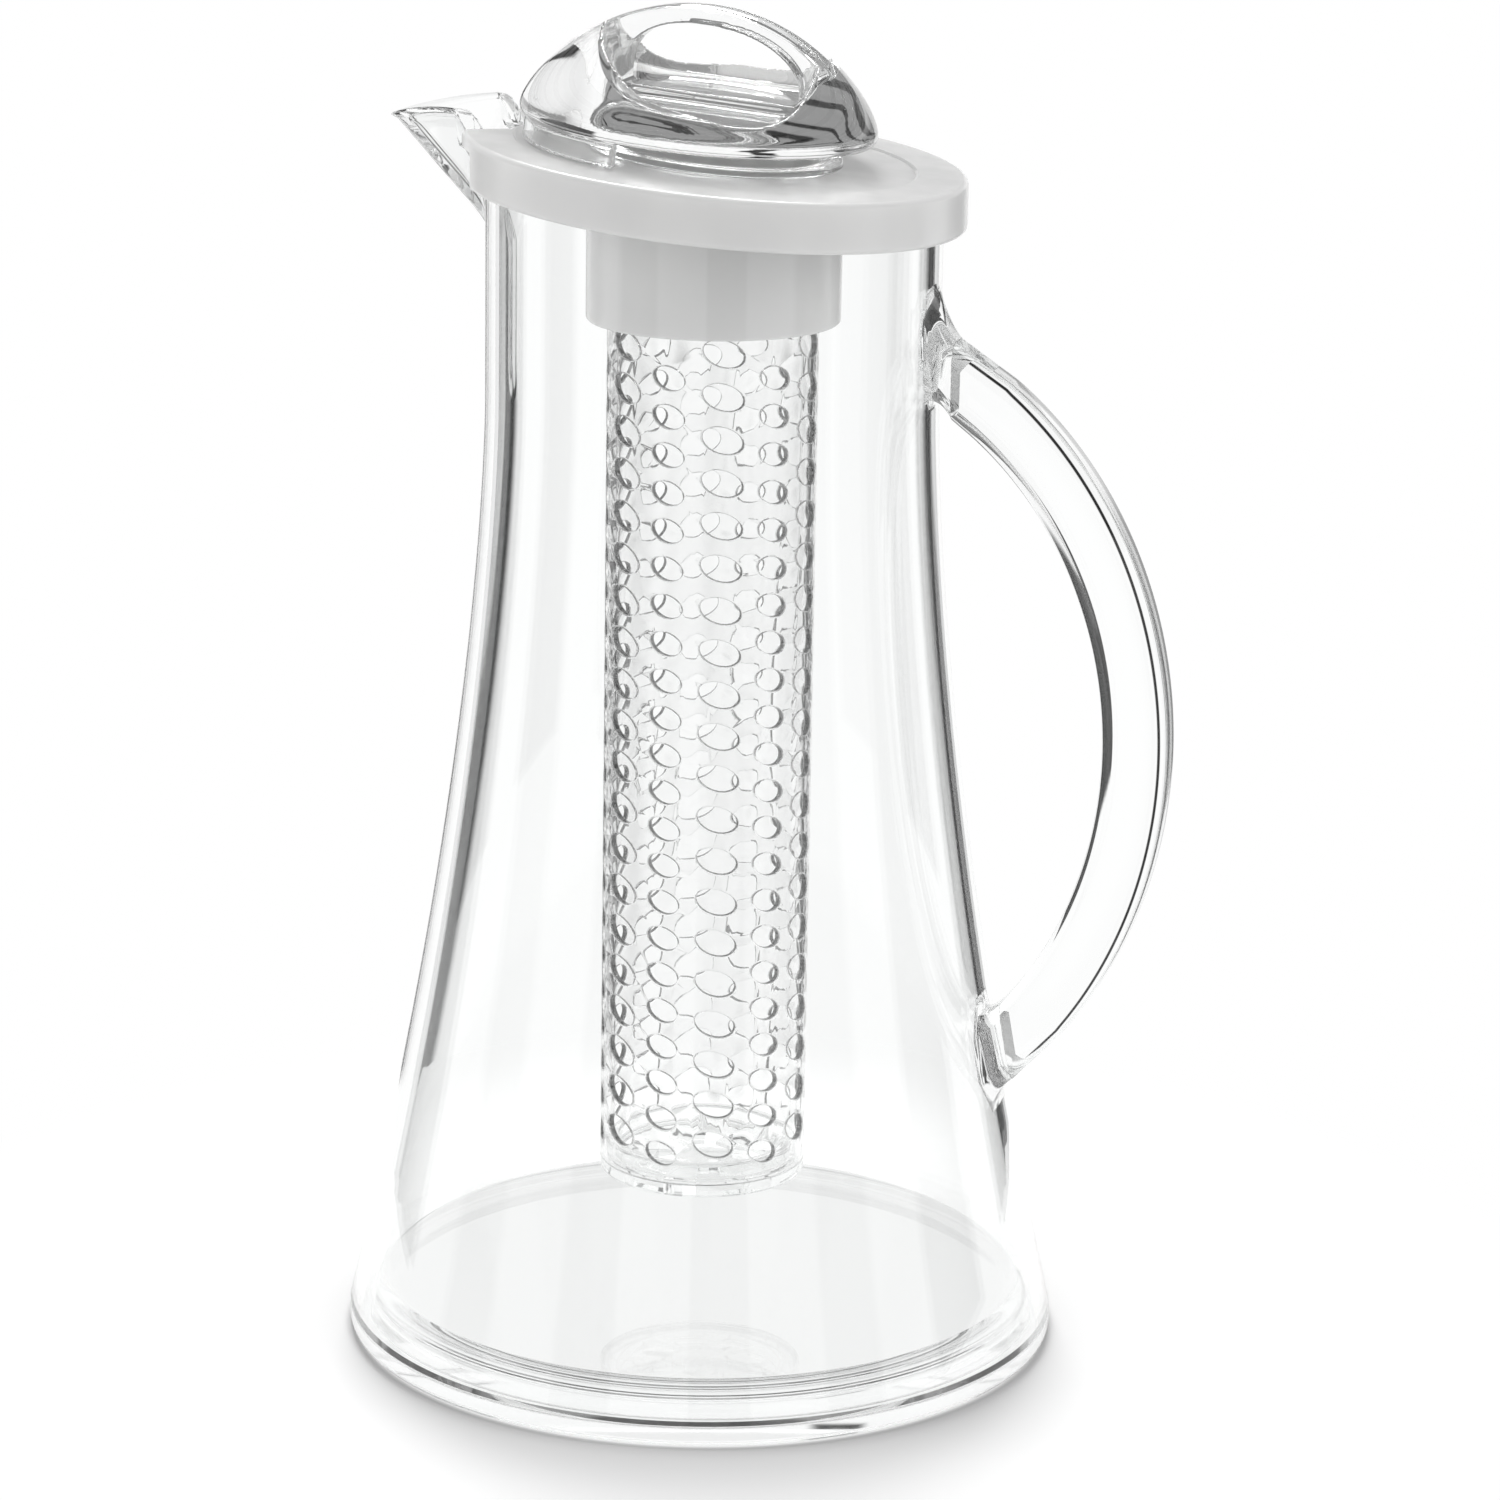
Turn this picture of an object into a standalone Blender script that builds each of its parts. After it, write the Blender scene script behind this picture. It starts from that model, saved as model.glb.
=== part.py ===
"""Infusion pitcher: a flared clear jug with a slanted lid and a perforated infuser tube.

Metres, +Z up. The origin is the centre of the flat underside. The spout points to -X and the
handle to +X. The rim and the lid slant down from the spout toward the handle, while the collar,
the infuser and the way the lid comes off stay vertical.
"""
import math

import bmesh
import bpy
from mathutils import Vector
from mathutils.geometry import delaunay_2d_cdt

# Fits
BOND_GAP = 0.0003           # between pieces that are bonded or rest on one another
TURN_CLEARANCE = 0.0004     # infuser tube inside the cap neck
SLIDE_CLEARANCE = 0.0005    # cap neck inside the collar, lid skirt over the pitcher neck
LUG_CLEARANCE = 0.0005      # infuser lugs in the slots of the cap neck
OVERCUT = 0.0050            # how far a cutting tool runs past the piece it cuts

# Pitcher body
BASE_RADIUS = 0.0825
NECK_RADIUS = 0.0513
NECK_HEIGHT = 0.2210        # where the straight neck turns into the flare
FLARE_POWER = 1.6           # how late the flare opens toward the foot
BODY_WALL = 0.0032
RIM_HEIGHT = 0.2727         # rim plane on the axis
RIM_ROUND = 0.0009
SLANT = math.radians(5.0)

# Spout
SPOUT_REACH = 0.0785        # point of the V from the axis, before its tip is rounded
SPOUT_DEPTH = 0.0215        # rim to the foot of the ridge
SPOUT_HALF_ANGLE = math.radians(34.0)
SPOUT_BLEND = 0.0060        # fillet between the spout and the round neck
SPOUT_TIP_ROUND = math.radians(1.0)
SPOUT_CREST = 0.0075        # the spout's sides stand above the rim plane where no lid lies on it
SPOUT_FALL = 0.0066         # their edge comes down again toward the tip
SPOUT_RISE = math.radians(1.2)

# Base plate, bonded into the open foot of the body
FOOT_HEIGHT = 0.0050
FOOT_ROUND = 0.0020
FLOOR_HEIGHT = 0.0130
FLOOR_SHOULDER = 0.0062     # rounded edge of the floor, across
PLUG_LAND = 0.0025          # straight height of the plug above the foot

# Handle: an elliptical bow between two bosses of the body
BOW_CENTRE_X = 0.0205
BOW_CENTRE_Z = 0.1460
BOW_REACH = 0.0800
BOW_HALF_HEIGHT = 0.0925
STRAP_DEPTH = 0.0150
STRAP_WIDTH = 0.0130
STRAP_SQUARENESS = 0.45     # 1 gives an oval section, less a squarer one
UPPER_BOSS_LENGTH = 0.0270
UPPER_BOSS_SHIFT = 0.0072   # root of the boss above the end of the bow
LOWER_BOSS_LENGTH = 0.0235
LOWER_BOSS_SHIFT = -0.0046
BOSS_WIDTH = 0.0185
BOSS_STAND = 0.0055         # bond face of a boss above the body wall

# Infuser tube
TUBE_RADIUS = 0.0239
TUBE_WALL = 0.0022
TUBE_SINK = 0.0140          # tube top below the top of the lid
FLOOR_GAP = 0.0245          # end cap above the floor of the pitcher
COLUMNS = 12
FIRST_COLUMN = math.radians(-68.0)
HOLE_SIDES = 6
HOLE_TILT = math.radians(-18.0)
# Columns of wide and of narrow holes take turns; each starts above the tube's lower end
WIDE_HOLE_LENGTH = 0.0096
WIDE_HOLE_HEIGHT = 0.0058
WIDE_HOLE_PITCH = 0.00971
WIDE_HOLE_START = 0.0094
NARROW_HOLE_LENGTH = 0.0076
NARROW_HOLE_HEIGHT = 0.0050
NARROW_HOLE_PITCH = 0.00864
NARROW_HOLE_START = 0.0065
LUG_HEIGHT = 0.0040
LUG_BELOW_TOP = 0.0070
LUG_SPAN = math.radians(10.0)
LUG_TURN = math.radians(30.0)

# End cap of the infuser
END_CAP_BAND = 0.0032
END_CAP_PLUG = 0.0040
END_CAP_WALL = 0.0024
END_CAP_ROUND = 0.0006
DRAIN_SLOTS = 6
DRAIN_INNER = 0.0070
DRAIN_MARGIN = 0.0022       # from the outer end of a slot to the wall of the plug
DRAIN_SPAN = math.radians(36.0)

# Lid ring
PLATE_THICKNESS = 0.0030
PLATE_ROUND = 0.0012
SKIRT_DROP = 0.0112
SKIRT_WALL = 0.0047
SKIRT_ROUND = 0.0009
RECESS_RADIUS = 0.0452
RECESS_DEPTH = 0.0006
COLLAR_WALL = 0.0022
COLLAR_DROP = 0.0374        # collar bottom below the top of the lid
NOTCH_INNER = 0.0450
NOTCH_HALF_WIDTH = 0.0085
NOTCH_SPLAY = math.radians(50.0)

# Cap
DOME_RADIUS = 0.0401
DOME_HEIGHT = 0.0270
DOME_EDGE = 0.0022
DOME_SHOULDER = 1.43        # above 1 the dome's shoulders slope more than a sphere's
DOME_EDGE_ROUND = 0.0012
DOME_LIFT = 0.0058          # underside of the dome above the recess of the lid
DOME_OFFSET = 0.0041        # dome centre from the axis, toward the spout
GUARD_WALL = 0.0022
GUARD_HALF_SPAN = math.radians(78.0)
GRIP_HALF_LENGTH = 0.0226
GRIP_REACH = 0.0360         # hollows beside the bar, from its middle to the front and the back
GRIP_SHIFT = 0.0030         # middle of the grip from the dome's centre, toward the handle
GRIP_FLOOR = 0.0058
GRIP_SILL = 0.0080          # floor of the window under the bar
GRIP_BAR_THICKNESS = 0.0038
GRIP_BAR_WIDTH = 0.0095
GRIP_ROUND = 0.0055
NECK_WALL = 0.0017
NECK_DROP = 0.0350          # neck bottom below the top of the lid
SHOULDER_SEAT = 0.0020      # how far the shoulder of the neck reaches over the lid
SHOULDER_THICKNESS = 0.0016

# Sizes that follow from the ones above
FALL = math.tan(SLANT)
PLATE_TOP = RIM_HEIGHT + BOND_GAP + PLATE_THICKNESS
RECESS_FLOOR = PLATE_TOP - RECESS_DEPTH
SKIRT_BORE = NECK_RADIUS + SLIDE_CLEARANCE
PLATE_RADIUS = SKIRT_BORE + SKIRT_WALL
CAP_NECK_BORE = TUBE_RADIUS + TURN_CLEARANCE
CAP_NECK_RADIUS = CAP_NECK_BORE + NECK_WALL
COLLAR_BORE = CAP_NECK_RADIUS + SLIDE_CLEARANCE
COLLAR_RADIUS = COLLAR_BORE + COLLAR_WALL
COLLAR_BOTTOM = PLATE_TOP - COLLAR_DROP
SHOULDER_RADIUS = COLLAR_BORE + SHOULDER_SEAT
DOME_UNDERSIDE = RECESS_FLOOR + DOME_LIFT
TUBE_TOP = PLATE_TOP - TUBE_SINK
TUBE_BOTTOM = FLOOR_HEIGHT + FLOOR_GAP + END_CAP_BAND + BOND_GAP
TUBE_BORE = TUBE_RADIUS - TUBE_WALL
LUG_RADIUS = CAP_NECK_RADIUS - LUG_CLEARANCE

ROUND_STEPS = 36
SPOUT_ANGLE = math.pi


def clear_scene():
    """Start from an empty scene."""
    for item in list(bpy.data.objects):
        bpy.data.objects.remove(item, do_unlink=True)


def plastic(name, colour, roughness, transmission):
    """Principled plastic, clear where transmission is high."""
    material = bpy.data.materials.new(name)
    material.use_nodes = True
    shader = material.node_tree.nodes["Principled BSDF"]
    shader.inputs["Base Color"].default_value = (*colour, 1.0)
    shader.inputs["Roughness"].default_value = roughness
    shader.inputs["Metallic"].default_value = 0.0
    shader.inputs["IOR"].default_value = 1.49
    shader.inputs["Transmission Weight"].default_value = transmission
    material.diffuse_color = (*colour, 1.0)
    return material


def clear_acrylic(name):
    return plastic(name, (0.94, 0.96, 0.96), 0.04, 0.95)


def add_object(name, bm, material=None, parent=None):
    """Turn a bmesh into a smooth-shaded object with outward faces."""
    bmesh.ops.recalc_face_normals(bm, faces=bm.faces)
    mesh = bpy.data.meshes.new(name)
    bm.to_mesh(mesh)
    bm.free()
    mesh.shade_smooth()
    mesh.set_sharp_from_angle(angle=math.radians(35.0))
    item = bpy.data.objects.new(name, mesh)
    bpy.context.scene.collection.objects.link(item)
    if material:
        mesh.materials.append(material)
    item.parent = parent
    return item


def add_axis(name, parent=None):
    """Empty on the vertical axis that a lifting or turning piece follows."""
    axis = bpy.data.objects.new(name, None)
    axis.empty_display_size = 0.02
    axis.parent = parent
    bpy.context.scene.collection.objects.link(axis)
    return axis


def join_by(item, operation, tool):
    """Unite an object with a hidden tool, or cut it by one."""
    tool.hide_render = True
    tool.display_type = "WIRE"
    modifier = item.modifiers.new(operation.title() + "_" + tool.name, "BOOLEAN")
    modifier.operation = operation
    modifier.solver = "EXACT"
    modifier.object = tool


def loft(bm, rings, wrap=False):
    """Skin rings of equal length; cap the ends, or wrap the last ring back to the first."""
    loops = [[bm.verts.new(point) for point in ring] for ring in rings]
    pairs = list(zip(loops, loops[1:]))
    if wrap:
        pairs.append((loops[-1], loops[0]))
    else:
        bm.faces.new(loops[0])
        bm.faces.new(loops[-1])
    for lower, upper in pairs:
        for i in range(len(lower)):
            j = (i + 1) % len(lower)
            bm.faces.new((lower[i], lower[j], upper[j], upper[i]))


def lofted(name, rings, material=None, parent=None, wrap=False):
    bm = bmesh.new()
    loft(bm, rings, wrap)
    return add_object(name, bm, material, parent)


def turned_ring(radius, height, slanted=0.0, steps=ROUND_STEPS):
    """Circle about Z; a slanted one falls toward +X with the lid."""
    ring = []
    for i in range(steps):
        angle = 2.0 * math.pi * i / steps
        x = radius * math.cos(angle)
        ring.append((x, radius * math.sin(angle), height - slanted * FALL * x))
    return ring


def arc_block(name, radii, angles, heights, steps=8, parent=None, slanted=0.0):
    """Block bent round the axis between two radii, two angles and two heights."""
    section = [(radii[0], heights[0]), (radii[1], heights[0]),
               (radii[1], heights[1]), (radii[0], heights[1])]
    rings = []
    for i in range(steps + 1):
        angle = angles[0] + (angles[1] - angles[0]) * i / steps
        c, s = math.cos(angle), math.sin(angle)
        rings.append([(r * c, r * s, z - slanted * FALL * r * c) for r, z in section])
    return lofted(name, rings, parent=parent)


def smooth_larger(a, b, blend):
    """The larger of two lengths, rounded over where they are nearly equal."""
    share = max(blend - abs(a - b), 0.0) / blend
    return max(a, b) + share * share * blend / 4.0


def flare_radius(height):
    """Outside radius of the body below the neck."""
    share = max(NECK_HEIGHT - height, 0.0) / (NECK_HEIGHT - FOOT_HEIGHT)
    return NECK_RADIUS + (BASE_RADIUS - NECK_RADIUS) * share ** FLARE_POWER


def neck_outline(angle, reach, inset):
    """Radius of the neck with a V-shaped spout of the given reach, moved inward by an inset."""
    turn = abs((angle - SPOUT_ANGLE + math.pi) % (2.0 * math.pi) - math.pi)
    turn = math.hypot(turn, SPOUT_TIP_ROUND)
    normal = math.pi / 2.0 - SPOUT_HALF_ANGLE
    side = (reach * math.sin(SPOUT_HALF_ANGLE) - inset) / math.cos(min(turn, normal) - normal)
    return smooth_larger(NECK_RADIUS - inset, side, SPOUT_BLEND)


def clear_of_lid(radius, turn):
    """Whether a point of the rim is outside the plate of the lid or well inside its notch."""
    x = radius * math.cos(turn)
    y = radius * math.sin(turn)
    notch = NOTCH_HALF_WIDTH + (x - NOTCH_INNER) * math.tan(NOTCH_SPLAY)
    return radius > PLATE_RADIUS + SLIDE_CLEARANCE or notch - y > 2.0 * SLIDE_CLEARANCE


def spout_clear_turn():
    """Angle from the spout's middle within which the whole thickness of the rim clears the lid."""
    turn = 0.0
    clear = True
    while clear and turn < SPOUT_HALF_ANGLE:
        turn += math.radians(0.25)
        outer = neck_outline(SPOUT_ANGLE + turn, SPOUT_REACH, 0.0)
        inner = neck_outline(SPOUT_ANGLE + turn, SPOUT_REACH, BODY_WALL)
        clear = clear_of_lid(outer, turn) and clear_of_lid(inner, turn)
    return turn - math.radians(0.25)


def spout_lift(angle):
    """Height of the spout's edge above the rim plane; none where the lid lies on the rim."""
    turn = abs((angle - SPOUT_ANGLE + math.pi) % (2.0 * math.pi) - math.pi)
    rise = min(max((spout_clear_turn() - turn) / SPOUT_RISE, 0.0), 1.0)
    edge = neck_outline(angle, SPOUT_REACH, 0.0)
    beyond = (edge - NECK_RADIUS) / (SPOUT_REACH - NECK_RADIUS)
    return rise * (SPOUT_CREST - SPOUT_FALL * beyond * beyond)


def spout_half_span():
    """Angle from the spout's middle at which the rim is back on the round neck."""
    turn = 0.0
    while neck_outline(SPOUT_ANGLE + turn, SPOUT_REACH, 0.0) > NECK_RADIUS + SLIDE_CLEARANCE / 2.0:
        turn += math.radians(0.5)
    return turn


def body_angles():
    """Columns of the body, close together at the spout."""
    fine = [math.radians(5.0 * i) for i in (1, 2, 4, 5, 6)]
    rise = [spout_clear_turn() - SPOUT_RISE, spout_clear_turn()]
    coarse = [math.radians(40.0 + 10.0 * i) for i in range(14)]
    turns = sorted(fine + rise + coarse)
    left = [SPOUT_ANGLE - turn for turn in reversed(turns)]
    right = [SPOUT_ANGLE + turn for turn in turns]
    return [0.0] + left + [SPOUT_ANGLE] + right


def body_ring(height, inset, drop=0.0):
    """One ring of the body wall; above the flare it leans into the slanted rim and the spout."""
    lean = max(height - NECK_HEIGHT, 0.0) / (RIM_HEIGHT - NECK_HEIGHT)
    opening = max(height - (RIM_HEIGHT - SPOUT_DEPTH), 0.0) / SPOUT_DEPTH
    reach = NECK_RADIUS + (SPOUT_REACH - NECK_RADIUS) * opening
    ring = []
    for angle in body_angles():
        radius = flare_radius(height) - inset
        if lean > 0.0:
            radius = neck_outline(angle, reach, inset)
        x = radius * math.cos(angle)
        z = height - drop - lean * FALL * x + opening * spout_lift(angle)
        ring.append((x, radius * math.sin(angle), z))
    return ring


def body_heights():
    """Heights of the wall's rings below the rim."""
    foot = FOOT_HEIGHT + BOND_GAP
    flare = [foot + (NECK_HEIGHT - foot) * i / 8 for i in range(9)]
    spout_foot = RIM_HEIGHT - SPOUT_DEPTH
    neck = [spout_foot + SPOUT_DEPTH * i / 4 for i in range(4)]
    return flare + neck


def bow_point(angle):
    return Vector((BOW_CENTRE_X + BOW_REACH * math.cos(angle), 0.0,
                   BOW_CENTRE_Z + BOW_HALF_HEIGHT * math.sin(angle)))


def bow_direction(angle):
    """Way along the bow, from its lower end to its upper end."""
    tangent = Vector((-BOW_REACH * math.sin(angle), 0.0, BOW_HALF_HEIGHT * math.cos(angle)))
    return tangent.normalized()


def wall_normal(height):
    """Outward direction of the body wall on the handle's side."""
    step = FOOT_HEIGHT / 4.0
    lean = (flare_radius(height - step) - flare_radius(height + step)) / (2.0 * step)
    return Vector((1.0, 0.0, lean)).normalized()


def bow_end(upper):
    """Angle on the bow at which its centre line reaches the bond face of a boss."""
    step = math.radians(0.1) * (1.0 if upper else -1.0)
    angle = 0.0
    point = bow_point(angle)
    while (point.x - flare_radius(point.z)) * wall_normal(point.z).x > BOSS_STAND:
        angle += step
        point = bow_point(angle)
    return angle


def strap_section(angle, points=14):
    """Rounded section of the handle, square to the bow."""
    along = bow_direction(angle)
    out = Vector((along.z, 0.0, -along.x))
    ring = []
    for i in range(points):
        turn = 2.0 * math.pi * i / points
        c, s = math.cos(turn), math.sin(turn)
        across = math.copysign(abs(c) ** STRAP_SQUARENESS, c) * STRAP_DEPTH / 2.0
        side = math.copysign(abs(s) ** STRAP_SQUARENESS, s) * STRAP_WIDTH / 2.0
        ring.append(bow_point(angle) + out * across + Vector((0.0, side, 0.0)))
    return ring


def strap_end(upper, gap):
    """Section of the handle where it is cut off parallel to the body wall."""
    angle = bow_end(upper)
    along = bow_direction(angle)
    normal = wall_normal(bow_point(angle).z)
    face = bow_point(angle) + normal * gap
    return [corner + along * ((face - corner).dot(normal) / along.dot(normal))
            for corner in strap_section(angle)]


def boss_tool(name, upper, length, shift):
    """Root of the handle: grows from the strap's end to an oval set in the body wall."""
    start = strap_end(upper, 0.0)
    middle = bow_point(bow_end(upper)).z
    tall = max(corner.z for corner in start) - min(corner.z for corner in start)
    surface = []
    root = []
    for corner in start:
        y = corner.y * BOSS_WIDTH / STRAP_WIDTH
        z = middle + shift + (corner.z - middle) * length / tall
        inner = flare_radius(z) - BODY_WALL / 2.0
        outer = flare_radius(z) + BODY_WALL / 4.0
        surface.append(Vector((math.sqrt(outer ** 2 - y * y), y, z)))
        root.append(Vector((math.sqrt(inner ** 2 - y * y), y, z)))
    return lofted(name, [start, surface, root])


def build_body():
    """Clear shell, open below, with the spout and the two handle bosses in one moulding."""
    rings = [body_ring(height, 0.0) for height in body_heights()]
    rings.append(body_ring(RIM_HEIGHT, 0.0, RIM_ROUND))
    rings.append(body_ring(RIM_HEIGHT, RIM_ROUND))
    rings.append(body_ring(RIM_HEIGHT, BODY_WALL - RIM_ROUND))
    rings.append(body_ring(RIM_HEIGHT, BODY_WALL, RIM_ROUND))
    rings += [body_ring(height, BODY_WALL) for height in reversed(body_heights())]
    body = lofted("pitcher_body", rings, clear_acrylic("body_acrylic"), wrap=True)
    upper = boss_tool("upper_boss", True, UPPER_BOSS_LENGTH, UPPER_BOSS_SHIFT)
    lower = boss_tool("lower_boss", False, LOWER_BOSS_LENGTH, LOWER_BOSS_SHIFT)
    join_by(body, "UNION", upper)
    join_by(body, "UNION", lower)


def build_base_plate():
    """Thick floor: a foot flush with the body and a plug with a rounded shoulder inside it."""
    plug = flare_radius(FLOOR_HEIGHT) - BODY_WALL - BOND_GAP
    land = FOOT_HEIGHT + PLUG_LAND
    rings = [turned_ring(BASE_RADIUS - FOOT_ROUND, 0.0, steps=48),
             turned_ring(BASE_RADIUS - FOOT_ROUND * 0.3, FOOT_ROUND * 0.3, steps=48),
             turned_ring(BASE_RADIUS, FOOT_ROUND, steps=48),
             turned_ring(BASE_RADIUS, FOOT_HEIGHT, steps=48),
             turned_ring(plug, FOOT_HEIGHT, steps=48),
             turned_ring(plug, land, steps=48)]
    for i in range(1, 4):
        angle = math.pi / 2.0 * i / 3
        radius = plug - FLOOR_SHOULDER * (1.0 - math.cos(angle))
        height = land + (FLOOR_HEIGHT - land) * math.sin(angle)
        rings.append(turned_ring(radius, height, steps=48))
    lofted("base_plate", rings, clear_acrylic("base_acrylic"))


def build_handle():
    """Bow of oval section, bonded to the two bosses."""
    stations = 18
    low = bow_end(False)
    high = bow_end(True)
    rings = [strap_end(False, BOND_GAP)]
    rings += [strap_section(low + (high - low) * i / stations) for i in range(2, stations - 1)]
    rings.append(strap_end(True, BOND_GAP))
    lofted("handle", rings, clear_acrylic("handle_acrylic"))


def notch_tool():
    """Wedge that opens the lid toward the spout."""
    outer = PLATE_RADIUS + OVERCUT
    half_outer = NOTCH_HALF_WIDTH + (outer - NOTCH_INNER) * math.tan(NOTCH_SPLAY)
    outline = [(-NOTCH_INNER, -NOTCH_HALF_WIDTH), (-NOTCH_INNER, NOTCH_HALF_WIDTH),
               (-outer, half_outer), (-outer, -half_outer)]
    low = PLATE_TOP - SKIRT_DROP - OVERCUT
    high = PLATE_TOP + PLATE_RADIUS * FALL + OVERCUT
    return lofted("pour_notch", [[(x, y, z) for x, y in outline] for z in (low, high)])


def skirt_gap_tool():
    """Stretch of the skirt that is left out so that the lid clears the spout."""
    half = spout_half_span()
    under = PLATE_TOP - PLATE_THICKNESS
    return arc_block("skirt_gap", (NECK_RADIUS - BODY_WALL, PLATE_RADIUS + OVERCUT),
                     (SPOUT_ANGLE - half, SPOUT_ANGLE + half),
                     (under - SKIRT_DROP, under + SLIDE_CLEARANCE / 2.0), slanted=1.0)


def build_lid_ring(parent):
    """Slanted plate with a skirt outside the neck, a notch at the spout and a vertical collar."""
    under = PLATE_TOP - PLATE_THICKNESS
    skirt = PLATE_TOP - SKIRT_DROP
    profile = [(COLLAR_RADIUS, COLLAR_BOTTOM, 0.0), (COLLAR_RADIUS, under, 1.0),
               (SKIRT_BORE, under, 1.0), (SKIRT_BORE, skirt, 1.0),
               (PLATE_RADIUS - SKIRT_ROUND, skirt, 1.0), (PLATE_RADIUS, skirt + SKIRT_ROUND, 1.0),
               (PLATE_RADIUS, PLATE_TOP - PLATE_ROUND, 1.0), (PLATE_RADIUS - PLATE_ROUND, PLATE_TOP, 1.0),
               (RECESS_RADIUS, PLATE_TOP, 1.0), (RECESS_RADIUS - RECESS_DEPTH, RECESS_FLOOR, 1.0),
               (COLLAR_BORE, RECESS_FLOOR, 1.0), (COLLAR_BORE, COLLAR_BOTTOM, 0.0)]
    rings = [turned_ring(radius, height, slanted) for radius, height, slanted in profile]
    white = plastic("lid_white", (0.80, 0.80, 0.79), 0.45, 0.15)
    ring = lofted("lid_ring", rings, white, parent, wrap=True)
    join_by(ring, "DIFFERENCE", notch_tool())
    join_by(ring, "DIFFERENCE", skirt_gap_tool())


def dome_height(share):
    """Height of the dome's surface at a share of its radius."""
    return DOME_EDGE + (DOME_HEIGHT - DOME_EDGE) * (1.0 - share * share) ** (DOME_SHOULDER / 2.0)


def window_tool(parent):
    """Opening under the grip bar: a flat sill below an arch that keeps the bar's thickness."""
    points = 16
    half = GRIP_HALF_LENGTH - GRIP_ROUND * 0.4
    outline = []
    for i in range(points + 1):
        turn = math.pi * i / points
        c, s = math.cos(turn), math.sin(turn)
        x = GRIP_SHIFT + half * math.copysign(abs(c) ** 0.5, c)
        arch = dome_height(x / DOME_RADIUS) - GRIP_BAR_THICKNESS - GRIP_SILL
        outline.append((x, GRIP_SILL + arch * s ** 0.5))
    depths = (-GRIP_BAR_WIDTH * 0.7, GRIP_BAR_WIDTH * 0.7)
    return lofted("grip_window", [[(x, y, z) for x, z in outline] for y in depths], parent=parent)


def scoop_tool(name, side, parent):
    """Hollow beside the grip bar: half an oval in plan with a rounded bottom edge."""
    points = 14
    near = GRIP_BAR_WIDTH / 2.0
    levels = [(GRIP_ROUND, GRIP_FLOOR),
              (GRIP_ROUND * 0.5, GRIP_FLOOR + GRIP_ROUND * 0.13),
              (GRIP_ROUND * 0.13, GRIP_FLOOR + GRIP_ROUND * 0.5),
              (0.0, GRIP_FLOOR + GRIP_ROUND),
              (0.0, DOME_HEIGHT + OVERCUT)]
    rings = []
    for inset, height in levels:
        half = GRIP_HALF_LENGTH - inset
        deep = GRIP_REACH - near - inset
        turns = [math.pi * i / points for i in range(points + 1)]
        rings.append([(GRIP_SHIFT + half * math.cos(turn), side * (near + deep * math.sin(turn)), height)
                      for turn in turns])
    return lofted(name, rings, parent=parent)


def build_cap_dome(parent):
    """Thick clear dome with an arched grip bar, and a guard wall down to the lid at the spout."""
    steps = 40
    rings = [turned_ring(DOME_RADIUS - DOME_EDGE_ROUND, 0.0, steps=steps),
             turned_ring(DOME_RADIUS, DOME_EDGE_ROUND, steps=steps)]
    levels = 8
    for i in range(levels):
        share = math.cos(math.pi / 2.0 * (i / levels) ** 0.9)
        rings.append(turned_ring(DOME_RADIUS * share, dome_height(share), steps=steps))
    dome = lofted("cap_dome", rings, clear_acrylic("dome_acrylic"), parent)
    dome.location = (-DOME_OFFSET, 0.0, DOME_UNDERSIDE + DOME_OFFSET * FALL)
    dome.rotation_euler = (0.0, SLANT, 0.0)
    foot = -(DOME_LIFT - BOND_GAP) * math.cos(SLANT)
    outside = DOME_RADIUS - DOME_EDGE_ROUND
    guard = arc_block("guard_wall", (outside - GUARD_WALL, outside),
                      (SPOUT_ANGLE - GUARD_HALF_SPAN, SPOUT_ANGLE + GUARD_HALF_SPAN),
                      (foot, DOME_EDGE_ROUND), steps=18, parent=dome)
    join_by(dome, "UNION", guard)
    join_by(dome, "DIFFERENCE", scoop_tool("front_scoop", -1.0, dome))
    join_by(dome, "DIFFERENCE", scoop_tool("back_scoop", 1.0, dome))
    join_by(dome, "DIFFERENCE", window_tool(dome))


def lug_angles():
    """Two lugs, on opposite sides, where the infuser is locked."""
    return [math.pi / 2.0, -math.pi / 2.0]


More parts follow.
